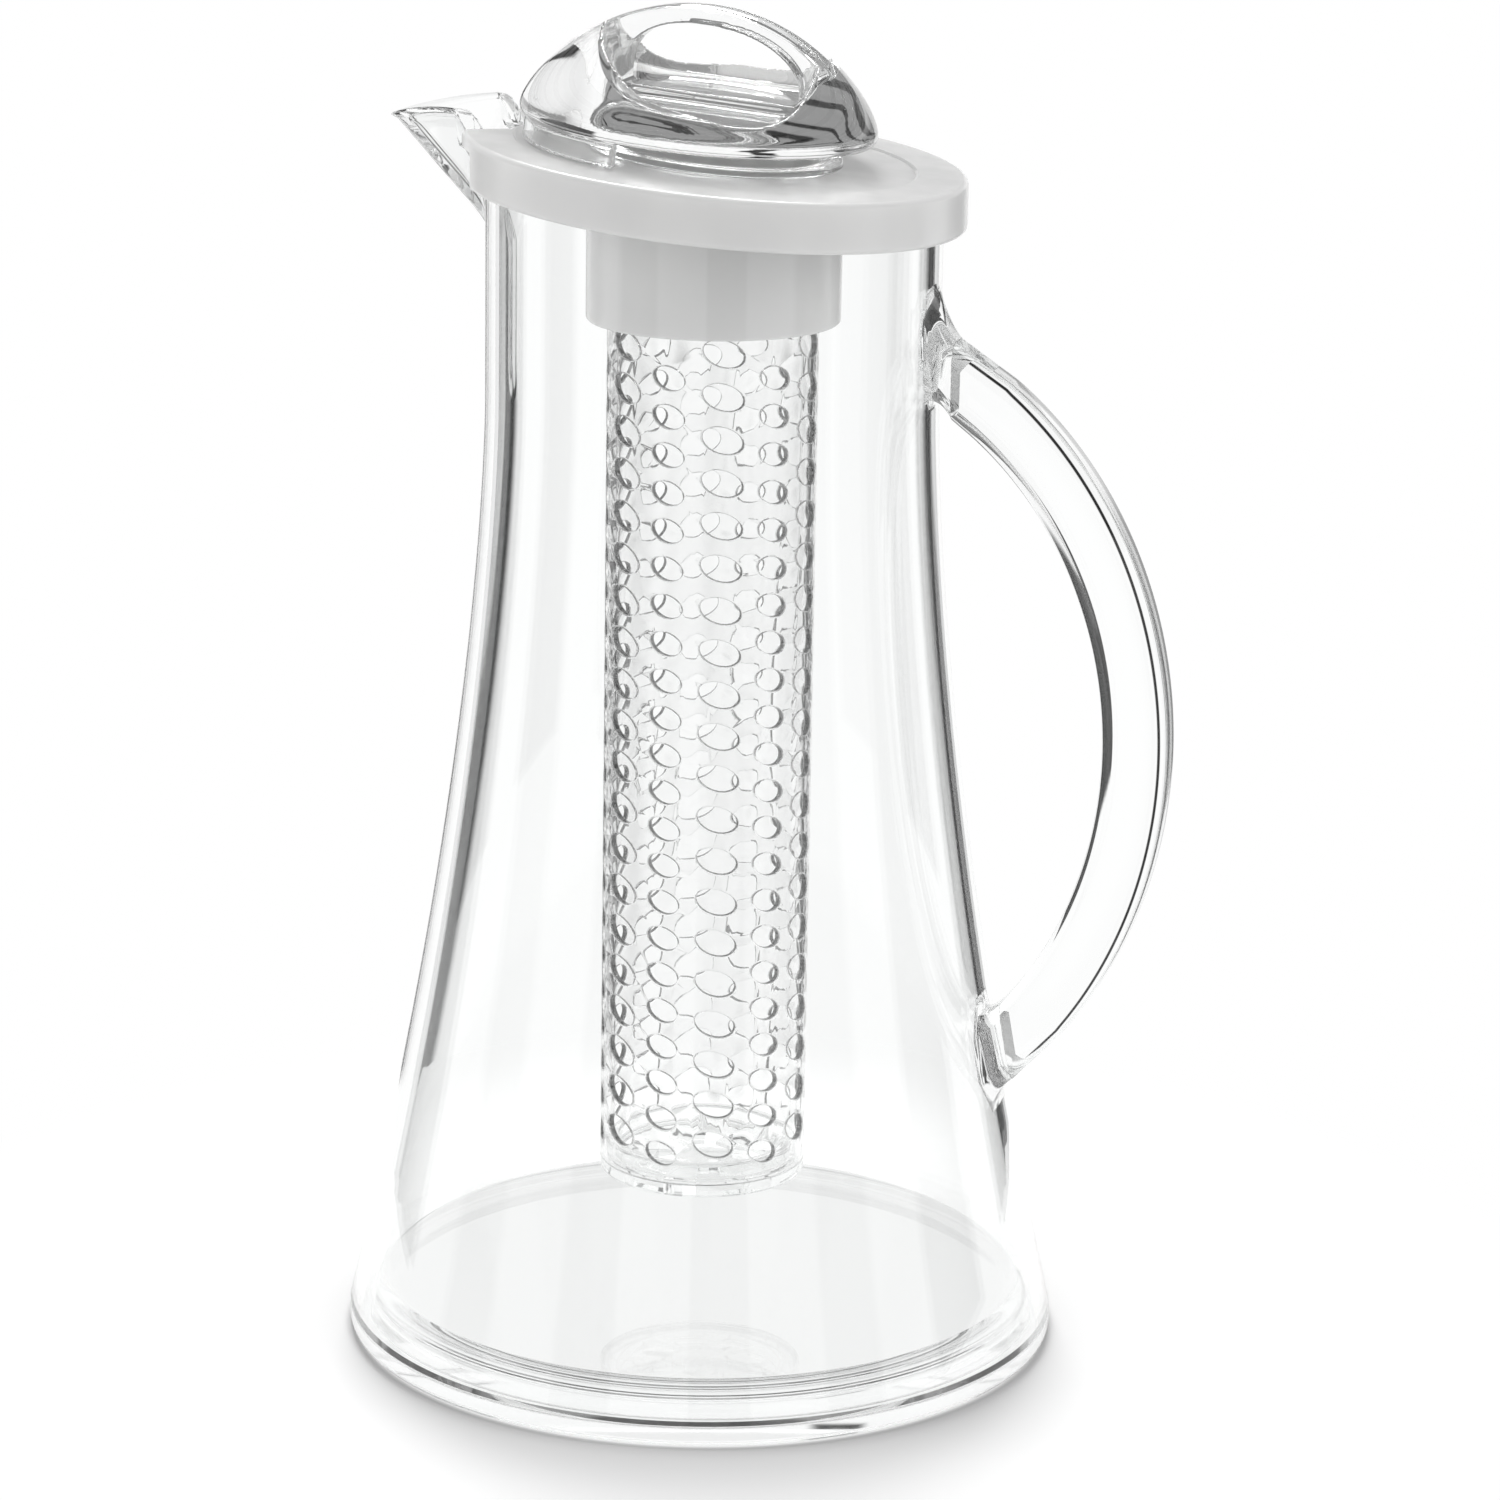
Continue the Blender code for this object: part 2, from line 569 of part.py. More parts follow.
def build_cap_neck(parent):
    """Clear sleeve under the dome with a shoulder on the lid and two hooked slots for the lugs."""
    bottom = PLATE_TOP - NECK_DROP
    low = RECESS_FLOOR + BOND_GAP
    high = low + SHOULDER_THICKNESS
    top = DOME_UNDERSIDE - BOND_GAP
    profile = [(CAP_NECK_BORE, bottom, 0.0), (CAP_NECK_RADIUS, bottom, 0.0),
               (CAP_NECK_RADIUS, low, 1.0), (SHOULDER_RADIUS, low, 1.0),
               (SHOULDER_RADIUS, high, 1.0), (CAP_NECK_RADIUS, high, 1.0),
               (CAP_NECK_RADIUS, top, 1.0), (CAP_NECK_BORE, top, 1.0)]
    rings = [turned_ring(radius, height, slanted) for radius, height, slanted in profile]
    neck = lofted("cap_neck", rings, clear_acrylic("neck_acrylic"), parent, wrap=True)
    lug_top = TUBE_TOP - LUG_BELOW_TOP + LUG_CLEARANCE
    lug_low = lug_top - LUG_HEIGHT - 2.0 * LUG_CLEARANCE
    spare = LUG_CLEARANCE / TUBE_RADIUS
    half = LUG_SPAN / 2.0 + spare
    radii = (CAP_NECK_BORE - OVERCUT, CAP_NECK_RADIUS + OVERCUT)
    for number, angle in enumerate(lug_angles(), start=1):
        entry = angle - LUG_TURN
        arm = arc_block("slot_arm_%d" % number, radii, (entry - half, angle + half), (lug_low, lug_top))
        way_in = arc_block("slot_entry_%d" % number, radii, (entry - half, entry + half),
                           (bottom - OVERCUT, lug_low + LUG_HEIGHT / 2.0), steps=3)
        join_by(neck, "DIFFERENCE", arm)
        join_by(neck, "DIFFERENCE", way_in)


def hole_outline(centre, length, height):
    """Tilted oval on the flat pattern of the tube wall."""
    points = []
    for i in range(HOLE_SIDES):
        angle = 2.0 * math.pi * i / HOLE_SIDES
        u = length / 2.0 * math.cos(angle)
        v = height / 2.0 * math.sin(angle)
        points.append((centre[0] + u * math.cos(HOLE_TILT) - v * math.sin(HOLE_TILT),
                       centre[1] + u * math.sin(HOLE_TILT) + v * math.cos(HOLE_TILT)))
    return points


def tube_holes():
    """All holes of the tube as outlines on the flat pattern, in arc length and height."""
    column = 2.0 * math.pi * TUBE_RADIUS / COLUMNS
    wide = (WIDE_HOLE_LENGTH, WIDE_HOLE_HEIGHT, WIDE_HOLE_PITCH, WIDE_HOLE_START)
    narrow = (NARROW_HOLE_LENGTH, NARROW_HOLE_HEIGHT, NARROW_HOLE_PITCH, NARROW_HOLE_START)
    holes = []
    for number in range(COLUMNS):
        length, height, pitch, start = (wide, narrow)[number % 2]
        z = TUBE_BOTTOM + start
        while z + height / 2.0 < COLLAR_BOTTOM:
            holes.append(hole_outline(((number + 0.5) * column, z), length, height))
            z += pitch
    return holes


def ribs_of_pattern():
    """Heights of the pattern's points on the plain ribs between the columns."""
    count = 12
    return [TUBE_BOTTOM + (TUBE_TOP - TUBE_BOTTOM) * i / count for i in range(count + 1)]


def flat_tube_wall():
    """Triangles of the perforated wall laid flat, as corner points (arc length, height)."""
    girth = 2.0 * math.pi * TUBE_RADIUS
    steps = 2 * COLUMNS
    ribs = ribs_of_pattern()
    border = [(girth * i / steps, TUBE_BOTTOM) for i in range(steps)]
    border += [(girth, z) for z in ribs[:-1]]
    border += [(girth * (steps - i) / steps, TUBE_TOP) for i in range(steps)]
    border += [(0.0, z) for z in reversed(ribs[1:])]
    loops = [border] + tube_holes()
    points = []
    edges = []
    for outline in loops:
        first = len(points)
        points += outline
        edges += [(first + i, first + (i + 1) % len(outline)) for i in range(len(outline))]
    for number in range(1, COLUMNS):
        points += [(girth * number / COLUMNS, z) for z in ribs[1:-1]]
    scale = 1000.0
    scaled = [Vector((u * scale, v * scale)) for u, v in points]
    corners, _, triangles, _, _, _ = delaunay_2d_cdt(scaled, edges, [], 1, 1e-4)
    flat = [(corner.x / scale, corner.y / scale) for corner in corners]
    return flat, triangles, loops[1:]


def inside(outline, point):
    """Whether a point lies within a convex outline that runs counterclockwise."""
    for (ax, ay), (bx, by) in zip(outline, outline[1:] + outline[:1]):
        if (bx - ax) * (point[1] - ay) - (by - ay) * (point[0] - ax) < 0.0:
            return False
    return True


def build_infuser_tube(parent):
    """Perforated wall: drawn flat with its holes, rolled into a tube and given its thickness."""
    flat, triangles, holes = flat_tube_wall()
    turn = FIRST_COLUMN - math.pi / COLUMNS
    bm = bmesh.new()
    rolled = []
    for u, v in flat:
        angle = turn + u / TUBE_RADIUS
        rolled.append(bm.verts.new((TUBE_RADIUS * math.cos(angle), TUBE_RADIUS * math.sin(angle), v)))
    for triangle in triangles:
        middle = (sum(flat[i][0] for i in triangle) / 3.0, sum(flat[i][1] for i in triangle) / 3.0)
        near = [hole for hole in holes if abs(hole[0][1] - middle[1]) < WIDE_HOLE_LENGTH]
        if not any(inside(hole, middle) for hole in near):
            bm.faces.new([rolled[i] for i in triangle])
    bmesh.ops.remove_doubles(bm, verts=bm.verts, dist=1e-6)
    tube = add_object("infuser_tube", bm, clear_acrylic("tube_acrylic"), parent)
    wall = tube.modifiers.new("Wall", "SOLIDIFY")
    wall.thickness = TUBE_WALL
    wall.offset = -1.0
    high = TUBE_TOP - LUG_BELOW_TOP
    radii = (TUBE_RADIUS - TUBE_WALL / 2.0, LUG_RADIUS)
    for number, angle in enumerate(lug_angles(), start=1):
        span = (angle - LUG_SPAN / 2.0, angle + LUG_SPAN / 2.0)
        lug = arc_block("lug_%d" % number, radii, span, (high - LUG_HEIGHT, high), steps=3)
        join_by(tube, "UNION", lug)


def build_end_cap(parent):
    """Plug that closes the tube's lower end, with drain slots in its floor."""
    top = TUBE_BOTTOM - BOND_GAP
    low = top - END_CAP_BAND
    rim = TUBE_BOTTOM + END_CAP_PLUG
    plug = TUBE_BORE - BOND_GAP * 2.0
    cup = plug - END_CAP_WALL
    profile = [(TUBE_RADIUS - END_CAP_ROUND, low), (TUBE_RADIUS, low + END_CAP_ROUND), (TUBE_RADIUS, top),
               (plug, top), (plug, rim), (cup, rim), (cup, top)]
    rings = [turned_ring(radius, height, steps=30) for radius, height in profile]
    cap = lofted("infuser_end_cap", rings, clear_acrylic("end_cap_acrylic"), parent)
    for number in range(DRAIN_SLOTS):
        angle = 2.0 * math.pi * number / DRAIN_SLOTS
        span = (angle - DRAIN_SPAN / 2.0, angle + DRAIN_SPAN / 2.0)
        slot = arc_block("drain_slot_%d" % (number + 1), (DRAIN_INNER, cup - DRAIN_MARGIN), span,
                         (low - OVERCUT, top + OVERCUT), steps=3)
        join_by(cap, "DIFFERENCE", slot)


def main():
    clear_scene()
    build_body()
    build_base_plate()
    build_handle()
    lid_axis = add_axis("lid_axis")
    build_lid_ring(lid_axis)
    cap_axis = add_axis("cap_axis", lid_axis)
    build_cap_dome(cap_axis)
    build_cap_neck(cap_axis)
    infuser_axis = add_axis("infuser_axis", cap_axis)
    build_infuser_tube(infuser_axis)
    build_end_cap(infuser_axis)


main()
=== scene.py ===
"""Looks of the infusion pitcher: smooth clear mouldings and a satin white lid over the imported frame.

Metres, +Z up. The spout points to -X and the handle to +X, as in the frame.
"""
import math

import bmesh
import bpy
from mathutils import Matrix, Vector
from mathutils.geometry import delaunay_2d_cdt


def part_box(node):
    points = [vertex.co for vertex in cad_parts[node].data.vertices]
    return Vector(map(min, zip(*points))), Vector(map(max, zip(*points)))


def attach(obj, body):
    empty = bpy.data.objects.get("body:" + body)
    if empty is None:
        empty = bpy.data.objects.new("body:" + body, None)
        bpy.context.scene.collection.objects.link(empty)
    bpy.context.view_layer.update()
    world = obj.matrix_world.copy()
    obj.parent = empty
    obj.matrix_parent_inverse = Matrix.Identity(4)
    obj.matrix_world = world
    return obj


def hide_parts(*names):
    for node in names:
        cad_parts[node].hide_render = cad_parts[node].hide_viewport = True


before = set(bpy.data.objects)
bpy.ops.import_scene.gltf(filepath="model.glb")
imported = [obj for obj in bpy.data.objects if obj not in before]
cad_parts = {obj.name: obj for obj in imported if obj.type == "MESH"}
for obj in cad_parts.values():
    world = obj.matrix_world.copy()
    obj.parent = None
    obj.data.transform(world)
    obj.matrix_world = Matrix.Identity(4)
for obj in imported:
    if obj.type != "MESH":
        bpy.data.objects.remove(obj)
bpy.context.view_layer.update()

# Sizes read from the frame
BASE_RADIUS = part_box("base_plate")[1][0]
FLOOR_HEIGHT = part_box("base_plate")[1][2]
FOOT_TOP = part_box("pitcher_body")[0][2]
TUBE_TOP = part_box("infuser_tube")[1][2]
TUBE_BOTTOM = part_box("infuser_tube")[0][2]
TUBE_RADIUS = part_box("infuser_end_cap")[1][0]
END_CAP_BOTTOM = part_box("infuser_end_cap")[0][2]
END_CAP_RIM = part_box("infuser_end_cap")[1][2]
COLLAR_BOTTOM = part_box("lid_ring")[0][2]
PLATE_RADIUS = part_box("lid_ring")[1][1]
NECK_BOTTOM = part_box("cap_neck")[0][2]
SHOULDER_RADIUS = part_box("cap_neck")[1][1]
DOME_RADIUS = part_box("cap_dome")[1][1]

# Sizes shared with the solids, apart from those with a note, the edge rounds and the mesh settings
GAP = 0.0003
SLANT = math.radians(5.0)
FALL = math.tan(SLANT)
NECK_RADIUS = 0.0513
NECK_HEIGHT = 0.2210
FLARE_POWER = 1.6
BODY_WALL = 0.0032
RIM_HEIGHT = 0.2727
RIM_ROUND = 0.0009
SPOUT_ANGLE = math.pi
SPOUT_REACH = 0.0785
SPOUT_DEPTH = 0.0215
SPOUT_HALF_ANGLE = math.radians(34.0)
SPOUT_BLEND = 0.0060
SPOUT_TIP_ROUND = math.radians(1.0)
SPOUT_CREST = 0.0075
SPOUT_FALL = 0.0066
SPOUT_RISE = math.radians(1.2)
SPOUT_SEARCH_STEP = math.radians(0.25)
SPOUT_TOLERANCE = 0.00025
FOOT_HEIGHT = FOOT_TOP - GAP
FOOT_ROUND = 0.0020
FOOT_EDGE_ROUND = 0.0004
FLOOR_ROUND = 0.0050
BOW_CENTRE = (0.0205, 0.1460)
BOW_REACH = 0.0800
BOW_HALF_HEIGHT = 0.0925
STRAP_DEPTH = 0.0150
STRAP_WIDTH = 0.0130
STRAP_INNER_ROUND = 0.0028
STRAP_OUTER_ROUND = 0.0040
STRAP_TRIM = math.radians(7.0)
BOSS_WIDTH = 0.0185
# The bonded ends reach a hair into the bosses, so that light passes as through a clear bond
BOND = -0.00008
BOSS_STAND = 0.0055
BOSS_FLARE_POWER = 2.2
BOSS_PROUD_SHARE = 0.02
UPPER_BOSS = (0.0270, 0.0072)
LOWER_BOSS = (0.0235, -0.0046)
# Thinner than the solid's wall, so that the holes show as crisp single ovals
TUBE_WALL = 0.0015
COLUMNS = 12
COLUMN_STEPS = 8
HOLE_ROUND = 0.0004
HOLE_NEARNESS = 0.0060
FIRST_COLUMN = math.radians(-68.0)
HOLE_TILT = math.radians(-18.0)
WIDE_HOLES = {"length": 0.0096, "height": 0.0058, "pitch": 0.00971, "start": 0.0094}
NARROW_HOLES = {"length": 0.0076, "height": 0.0050, "pitch": 0.00864, "start": 0.0065}
LUG_RADIUS = 0.0255
LUG_HEIGHT = 0.0040
LUG_BELOW_TOP = 0.0070
LUG_SPAN = math.radians(10.0)
LUG_TURN = math.radians(30.0)
LUG_CLEARANCE = 0.0005
END_CAP_WALL = 0.0024
END_CAP_ROUND = 0.0008
END_CAP_LEDGE_ROUND = 0.0003
END_CAP_LIP_ROUND = 0.0006
DRAIN_SLOTS = 6
DRAIN_INNER = 0.0070
DRAIN_OUTER = 0.0165
DRAIN_SPAN = math.radians(36.0)
PLATE_TOP = 0.2760
PLATE_THICKNESS = 0.0030
SKIRT_DROP = 0.0112
SKIRT_BORE = 0.0518
RECESS_RADIUS = 0.0452
RECESS_DEPTH = 0.0006
RECESS_ROUND = 0.0002
PLATE_ROUND = 0.0014
PLATE_CLEARANCE = 0.0005
SKIRT_ROOT_ROUND = 0.0006
SKIRT_INNER_ROUND = 0.0007
SKIRT_OUTER_ROUND = 0.0012
SKIRT_GAP_RISE = 0.00025
COLLAR_BORE = 0.0265
COLLAR_RADIUS = 0.0287
COLLAR_FOOT_ROUND = 0.0007
COLLAR_ROOT_ROUND = 0.0008
COLLAR_BORE_ROUND = 0.0006
COLLAR_MARGIN = 0.0004
NOTCH_INNER = 0.0450
NOTCH_HALF_WIDTH = 0.0085
NOTCH_SPLAY = math.radians(50.0)
NOTCH_CLEARANCE = 0.0010
DOME_HEIGHT = 0.0270
DOME_EDGE = 0.0022
DOME_SHOULDER = 1.43
DOME_EDGE_ROUND = 0.0012
DOME_LIFT = 0.0058
DOME_OFFSET = 0.0041
DOME_VOXEL = 0.00045
DOME_SOFTENING = 0.5
DOME_SOFTENING_PASSES = 6
GUARD_WALL = 0.0022
GUARD_HALF_SPAN = math.radians(78.0)
GRIP_HALF_LENGTH = 0.0226
GRIP_SHIFT = 0.0030
# The scoops are squarer and deeper than the solid's, lean along the bar and have drafted ends
GRIP_REACH = 0.0368
GRIP_SQUARENESS = 0.65
GRIP_LEAN = 0.20
GRIP_DRAFT = 0.25
SCOOP_HALF_LENGTH = 0.0212
GRIP_FLOOR = 0.0058
GRIP_SILL = 0.0080
GRIP_BAR_THICKNESS = 0.0038
GRIP_BAR_WIDTH = 0.0095
GRIP_ROUND = 0.0055
WINDOW_INSET = GRIP_ROUND * 0.4
WINDOW_SQUARENESS = 0.5
WINDOW_HALF_DEPTH = GRIP_BAR_WIDTH * 0.7
NECK_BORE = 0.0243
NECK_OUTSIDE = 0.0260
SHOULDER_THICKNESS = 0.0016
NECK_EDGE_ROUND = 0.0004
NECK_FOOT_ROUND = 0.0005
NECK_UNDERCUT_ROUND = 0.0003
NECK_ROOT_ROUND = 0.0008
SHOULDER_ROUND = 0.0006
RECESS_FLOOR = PLATE_TOP - RECESS_DEPTH
DOME_UNDERSIDE = RECESS_FLOOR + DOME_LIFT
TUBE_BORE = TUBE_RADIUS - TUBE_WALL
OVERCUT = 0.005
# Radius at which a turned piece that reaches the axis is closed by a flat face
CENTRE_RADIUS = 0.0005
# Share of an edge round at which the middle of its bevel lies
BEVEL_MIDDLE = 0.3
# Edges that turn by more than this many degrees stay crisp
CRISP_ANGLE = 35.0
TUBE_CRISP_ANGLE = 50.0
MERGE_DISTANCE = 1e-6


def mesh_object(name, bm, sharp=CRISP_ANGLE):
    """Smooth-shaded object from a bmesh, with edges sharper than an angle kept crisp."""
    bmesh.ops.recalc_face_normals(bm, faces=bm.faces)
    mesh = bpy.data.meshes.new(name)
    bm.to_mesh(mesh)
    bm.free()
    mesh.shade_smooth()
    mesh.set_sharp_from_angle(angle=math.radians(sharp))
    item = bpy.data.objects.new(name, mesh)
    bpy.context.scene.collection.objects.link(item)
    return item


def skin(bm, rings, wrap=False):
    """Quads between rings of equal length; capped ends, or the last ring joined to the first."""
    loops = [[bm.verts.new(point) for point in ring] for ring in rings]
    pairs = list(zip(loops, loops[1:]))
    if wrap:
        pairs.append((loops[-1], loops[0]))
    else:
        bm.faces.new(loops[0])
        bm.faces.new(loops[-1])
    for lower, upper in pairs:
        for i in range(len(lower)):
            j = (i + 1) % len(lower)
            bm.faces.new((lower[i], lower[j], upper[j], upper[i]))


def skinned(name, rings, wrap=False):
    bm = bmesh.new()
    skin(bm, rings, wrap)
    return mesh_object(name, bm)


def arc(first, last, middle, steps):
    """Points on the short arc between two directions from a middle point."""
    start = first - middle
    end = last - middle
    angle = start.angle(end)
    points = []
    for i in range(steps + 1):
        share = i / steps
        weight_a = math.sin((1.0 - share) * angle) / math.sin(angle)
        weight_b = math.sin(share * angle) / math.sin(angle)
        points.append(middle + start * weight_a + end * weight_b)
    return points


def rounded(corners, steps=4):
    """Closed outline in which each corner (across, up, radius) becomes an arc."""
    points = []
    for i, corner in enumerate(corners):
        here = Vector(corner[:2])
        back = (Vector(corners[i - 1][:2]) - here).normalized()
        ahead = (Vector(corners[(i + 1) % len(corners)][:2]) - here).normalized()
        radius = corner[2]
        if radius == 0.0:
            points.append(here)
            continue
        half = back.angle(ahead) / 2.0
        reach = radius / math.tan(half)
        middle = here + (back + ahead).normalized() * radius / math.sin(half)
        points += arc(here + back * reach, here + ahead * reach, middle, steps)
    return points


def turned(name, outline, steps=128, slant=None, wrap=True, even=True):
    """Outline (radius, height) turned about Z; slant gives each point's share of the lid's fall."""
    rings = []
    for radius, height in outline:
        share = slant(radius, height) if slant else 0.0
        ring = []
        for i in range(steps):
            angle = 2.0 * math.pi * i / steps
            x = radius * math.cos(angle)
            ring.append((x, radius * math.sin(angle), height - share * FALL * x))
        rings.append(ring)
    item = skinned(name, rings, wrap)
    if even:
        even_normals(item)
    return item


def arc_block(name, radii, angles, heights, steps=12, slanted=0.0):
    """Block bent round the axis between two radii, two angles and two heights."""
    section = [(radii[0], heights[0]), (radii[1], heights[0]),
               (radii[1], heights[1]), (radii[0], heights[1])]
    rings = []
    for i in range(steps + 1):
        angle = angles[0] + (angles[1] - angles[0]) * i / steps
        c, s = math.cos(angle), math.sin(angle)
        rings.append([(r * c, r * s, z - slanted * FALL * r * c) for r, z in section])
    return skinned(name, rings)


def even_normals(item):
    """Flat faces keep flat shading up to the rounded edges beside them."""
    modifier = item.modifiers.new("EvenNormals", "WEIGHTED_NORMAL")
    modifier.weight = 100
    modifier.keep_sharp = True


def crisp(item):
    """Crisp edges and even flat faces for a piece that was cut."""
    item.data.set_sharp_from_angle(angle=math.radians(CRISP_ANGLE))
    even_normals(item)


def settle(item):
    """Give the object the mesh that its modifiers make."""
    graph = bpy.context.evaluated_depsgraph_get()
    mesh = bpy.data.meshes.new_from_object(item.evaluated_get(graph))
    item.modifiers.clear()
    item.data = mesh


def combine(item, operation, tools):
    """Unite an object with tools, or cut it by them, and remove the tools."""
    for tool in tools:
        modifier = item.modifiers.new(tool.name, "BOOLEAN")
        modifier.operation = operation
        modifier.solver = "EXACT"
        modifier.object = tool
    settle(item)
    for tool in tools:
        bpy.data.objects.remove(tool, do_unlink=True)


def finish_piece(item, body, node, material):
    """Put a piece on its body in place of the plain solid."""
    item.data.materials.clear()
    item.data.materials.append(material)
    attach(item, body)
    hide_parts(node)


# Pitcher body

def smooth_larger(a, b, blend):
    """The larger of two lengths, rounded over where they are nearly equal."""
    share = max(blend - abs(a - b), 0.0) / blend
    return max(a, b) + share * share * blend / 4.0


def flare_radius(height):
    """Outside radius of the body below the neck."""
    share = max(NECK_HEIGHT - height, 0.0) / (NECK_HEIGHT - FOOT_HEIGHT)
    return NECK_RADIUS + (BASE_RADIUS - NECK_RADIUS) * share ** FLARE_POWER


def neck_outline(angle, reach, inset):
    """Radius of the neck with a V-shaped spout of the given reach, moved inward by an inset."""
    turn = abs((angle - SPOUT_ANGLE + math.pi) % (2.0 * math.pi) - math.pi)
    turn = math.hypot(turn, SPOUT_TIP_ROUND)
    normal = math.pi / 2.0 - SPOUT_HALF_ANGLE
    side = (reach * math.sin(SPOUT_HALF_ANGLE) - inset) / math.cos(min(turn, normal) - normal)
    return smooth_larger(NECK_RADIUS - inset, side, SPOUT_BLEND)


def clear_of_lid(radius, turn):
    """Whether a point of the rim is outside the plate of the lid or well inside its notch."""
    x = radius * math.cos(turn)
    y = radius * math.sin(turn)
    notch = NOTCH_HALF_WIDTH + (x - NOTCH_INNER) * math.tan(NOTCH_SPLAY)
    return radius > PLATE_RADIUS + PLATE_CLEARANCE or notch - y > NOTCH_CLEARANCE


def spout_clear_turn():
    """Angle from the spout's middle within which the whole thickness of the rim clears the lid."""
    turn = 0.0
    clear = True
    while clear and turn < SPOUT_HALF_ANGLE:
        turn += SPOUT_SEARCH_STEP
        outer = neck_outline(SPOUT_ANGLE + turn, SPOUT_REACH, 0.0)
        inner = neck_outline(SPOUT_ANGLE + turn, SPOUT_REACH, BODY_WALL)
        clear = clear_of_lid(outer, turn) and clear_of_lid(inner, turn)
    return turn - SPOUT_SEARCH_STEP


def spout_lift(angle):
    """Height of the spout's edge above the rim plane; none where the lid lies on the rim."""
    turn = abs((angle - SPOUT_ANGLE + math.pi) % (2.0 * math.pi) - math.pi)
    rise = min(max((spout_clear_turn() - turn) / SPOUT_RISE, 0.0), 1.0)
    edge = neck_outline(angle, SPOUT_REACH, 0.0)
    beyond = (edge - NECK_RADIUS) / (SPOUT_REACH - NECK_RADIUS)
    return rise * rise * (3.0 - 2.0 * rise) * (SPOUT_CREST - SPOUT_FALL * beyond * beyond)


def body_angles():
    """Columns of the body, close together at the spout."""
    turns = [math.radians(0.6 * i) for i in range(1, 61)]
    turns += [math.radians(36.0 + 2.5 * i) for i in range(1, 58)]
    left = [SPOUT_ANGLE - turn for turn in reversed(turns)]
    right = [SPOUT_ANGLE + turn for turn in turns]
    return [0.0] + left + [SPOUT_ANGLE] + right


def body_ring(height, inset, drop=0.0):
    """One ring of the body wall; above the flare it leans into the slanted rim and the spout."""
    lean = max(height - NECK_HEIGHT, 0.0) / (RIM_HEIGHT - NECK_HEIGHT)
    opening = max(height - (RIM_HEIGHT - SPOUT_DEPTH), 0.0) / SPOUT_DEPTH
    reach = NECK_RADIUS + (SPOUT_REACH - NECK_RADIUS) * opening
    ring = []
    lifts = {angle: spout_lift(angle) for angle in body_angles()} if opening > 0.0 else {}
    for angle in body_angles():
        radius = flare_radius(height) - inset
        if lean > 0.0:
            radius = neck_outline(angle, reach, inset)
        x = radius * math.cos(angle)
        z = height - drop - lean * FALL * x + opening * lifts.get(angle, 0.0)
        ring.append((x, radius * math.sin(angle), z))
    return ring


def body_heights():
    """Heights of the wall's rings below the rim."""
    flare = [FOOT_TOP + (NECK_HEIGHT - FOOT_TOP) * i / 48 for i in range(49)]
    spout_foot = RIM_HEIGHT - SPOUT_DEPTH
    straight = [NECK_HEIGHT + (spout_foot - NECK_HEIGHT) * i / 8 for i in range(1, 9)]
    neck = [spout_foot + SPOUT_DEPTH * i / 16 for i in range(1, 16)]
    return flare + straight + neck


def make_body():
    heights = body_heights()
    rings = [body_ring(height, 0.0) for height in heights]
    for i in range(7):
        angle = math.pi / 2.0 * i / 6
        rings.append(body_ring(RIM_HEIGHT, RIM_ROUND * (1.0 - math.cos(angle)),
                               RIM_ROUND * (1.0 - math.sin(angle))))
    for i in range(7):
        angle = math.pi / 2.0 * (1.0 - i / 6)
        rings.append(body_ring(RIM_HEIGHT, BODY_WALL - RIM_ROUND * (1.0 - math.cos(angle)),
                               RIM_ROUND * (1.0 - math.sin(angle))))
    rings += [body_ring(height, BODY_WALL) for height in reversed(heights)]
    body = skinned("clear_body", rings, wrap=True)
    bosses = [make_boss("upper_boss", True, *UPPER_BOSS), make_boss("lower_boss", False, *LOWER_BOSS)]
    combine(body, "UNION", bosses)
    return body


# Handle

def bow_point(angle):
    return Vector((BOW_CENTRE[0] + BOW_REACH * math.cos(angle), 0.0,
                   BOW_CENTRE[1] + BOW_HALF_HEIGHT * math.sin(angle)))


def bow_direction(angle):
    """Way along the bow, from its lower end to its upper end."""
    return Vector((-BOW_REACH * math.sin(angle), 0.0, BOW_HALF_HEIGHT * math.cos(angle))).normalized()


def wall_normal(height):
    """Outward direction of the body wall on the handle's side."""
    step = FOOT_HEIGHT / 4.0
    lean = (flare_radius(height - step) - flare_radius(height + step)) / (2.0 * step)
    return Vector((1.0, 0.0, lean)).normalized()


def bow_end(upper):
    """Angle on the bow at which its centre line reaches the bond face of a boss."""
    step = math.radians(0.1) * (1.0 if upper else -1.0)
    angle = 0.0
    point = bow_point(angle)
    while (point.x - flare_radius(point.z)) * wall_normal(point.z).x > BOSS_STAND:
        angle += step
        point = bow_point(angle)
    return angle


def strap_outline():
    """Section of the handle: flat sides and rounded edges, tighter on the inside of the bow."""
    half_depth, half_width = STRAP_DEPTH / 2.0, STRAP_WIDTH / 2.0
    inner, outer = STRAP_INNER_ROUND, STRAP_OUTER_ROUND
    return rounded([(half_depth, -half_width, outer), (half_depth, half_width, outer),
                    (-half_depth, half_width, inner), (-half_depth, -half_width, inner)], 7)


def strap_section(angle):
    """Section of the handle, square to the bow."""
    along = bow_direction(angle)
    out = Vector((along.z, 0.0, -along.x))
    return [bow_point(angle) + out * across + Vector((0.0, side, 0.0))
            for across, side in strap_outline()]


def strap_end(upper, gap):
    """Section of the handle where it is cut off parallel to the body wall."""
    angle = bow_end(upper)
    along = bow_direction(angle)
    normal = wall_normal(bow_point(angle).z)
    face = bow_point(angle) + normal * gap
    return [corner + along * ((face - corner).dot(normal) / along.dot(normal))
            for corner in strap_section(angle)]


